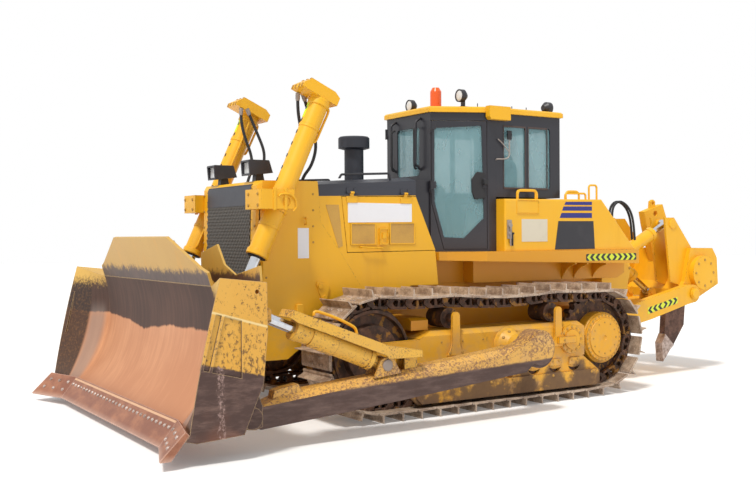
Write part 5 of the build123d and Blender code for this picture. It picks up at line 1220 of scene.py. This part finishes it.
def cap(node, x, z, beside, size):
    """Round pin cap over a bore on a node's left side, whose face is looked for beside the bore."""
    return standing(((size, -4), (size, 9), (size * 0.86, 15), (size * 0.3, 16)), 24,
                    [(x, side_of(node, x, z + beside), z)], (0, 1, 0), (1, 0, 0))


def make_cylinder_details():
    """Bolts and hose sleeves of the lift cylinders' head blocks, gland rings, pin caps, the guard's bolts."""
    top_spots = [beside_lift(-1700, out, y) for out in (30, 110, 190) for y in (700, 790, 870)]
    front_spots = [beside_lift(reach, 700, y) for reach in (-1147, -1131) for y in (680, 740, 820, 880)]
    bolts("lift_head_bolts", [
        ("lift_tubes", top_spots, ALONG_LIFT, 15),
        ("lift_tubes", front_spots, (LIFT_DOWN[1], 0, -LIFT_DOWN[0]), 12)], body="lift_tubes")
    sleeves = [standing(((23, -14), (23, 40), (19, 62), (17, 64)), 16, [spot], lean) for spot, lean in (
        ((3588, 672, 3226), (0.05, 0, -1)), ((3519, 654.5, 3226), (-0.36, -0.04, -0.92)))]
    piece("lift_hose_sleeves", joined(sleeves), "bolt_steel", "chrome_rod", body="lift_tubes")
    gland = standing(((92, 0), (92, 8), (70, 14)), 28, [beside_lift(572, 0)], ALONG_LIFT)
    piece("lift_gland_rings", gland, "rubber", "dark_paint", body="lift_tubes")
    for name, body, finish, slot, size, places in (
            ("arm_pin_caps", "push_arms", "pin_steel", "track_steel", 54,
             [("push_arms", 3300, 642, 45), ("push_arms", 4673, 304, 80)]),
            ("blade_pin_caps", "tilt_rods", "pin_steel", "track_steel", 44, [("tilt_rods", 4530, 1150, 50)]),
            ("trunnion_caps", "tractor", "frame_paint", "track_steel", 100,
             [("arm_trunnions", 1450, 665, 120)]),
            ("mast_pin_caps", "ripper_beam", "body_paint", "body_paint", 64,
             [("ripper_beam", -1968, 1955, 60), ("ripper_beam", -2168, 1045, 75)]),
            ("ripper_pin_caps", "ripper_arms", "body_paint", "body_paint", 66,
             [("ripper_arms", -900, 775, 80)])):
        piece(name, joined([cap(*place, size) for place in places]), finish, slot, body=body)
    bolts("guard_side_bolts", [
        ("radiator_guard", row_of((3440, 1300, 1760), (3440, 1300, 2240), 4), ACROSS, 9),
        ("radiator_guard", row_of((3960, 1300, 1120), (3960, 1300, 1420), 2), ACROSS, 9)])


# Floor and light: the sky lights the machine at SKY_LIGHT, and shows white
FLOOR_SIZE, FLOOR_DROP = 120, 0.001
SKY_LIGHT, SUN_STRENGTH, SUN_WIDTH = 0.62, 2.6, 9


def stage_set():
    """Pale floor that shows white to the camera but keeps the shadow, under a white sky."""
    bpy.ops.mesh.primitive_plane_add(size=FLOOR_SIZE, location=(0, 0, -FLOOR_DROP))
    floor = bpy.context.object
    floor.name = "floor"
    pale = Finish("pale_floor")
    pale.colour = (0.86, 0.86, 0.86, 1)
    pale.done(0.9, bevel=0, **{"Emission Color": (1, 1, 1, 1), "Emission Strength": 0.12})
    floor.data.materials.append(pale.material)
    world = bpy.data.worlds.new("sky")
    bpy.context.scene.world = world
    world.use_nodes = True
    tree = world.node_tree
    rays = tree.nodes.new("ShaderNodeLightPath")
    camera, glossy, through = (Level(tree, rays.outputs[f"Is {kind} Ray"])
                               for kind in ("Camera", "Glossy", "Transmission"))
    strength = SKY_LIGHT + (camera + (glossy + through)).held() * (1 - SKY_LIGHT)
    tree.nodes["Background"].inputs["Color"].default_value = (1, 1, 1, 1)
    tree.links.new(strength.socket, tree.nodes["Background"].inputs["Strength"])
    sun = bpy.data.lights.new("sun", "SUN")
    sun.energy = SUN_STRENGTH
    sun.angle = math.radians(SUN_WIDTH)
    sun.color = (1.0, 0.97, 0.92)
    lamp = bpy.data.objects.new("sun", sun)
    lamp.rotation_euler = Vector((0.55, 0.35, 1.15)).to_track_quat("Z", "Y").to_euler()
    bpy.context.scene.collection.objects.link(lamp)
    bpy.context.scene.view_settings.view_transform = "Standard"


for make in (make_tracks, make_bolts, make_door_dress, make_hoses, make_pipes, make_seat, make_lamps,
             make_cab_trim, make_grille_mesh, make_tank_dress, make_hull_dress, make_blade_dress,
             make_cab_details, make_cylinder_details, stage_set):
    make()
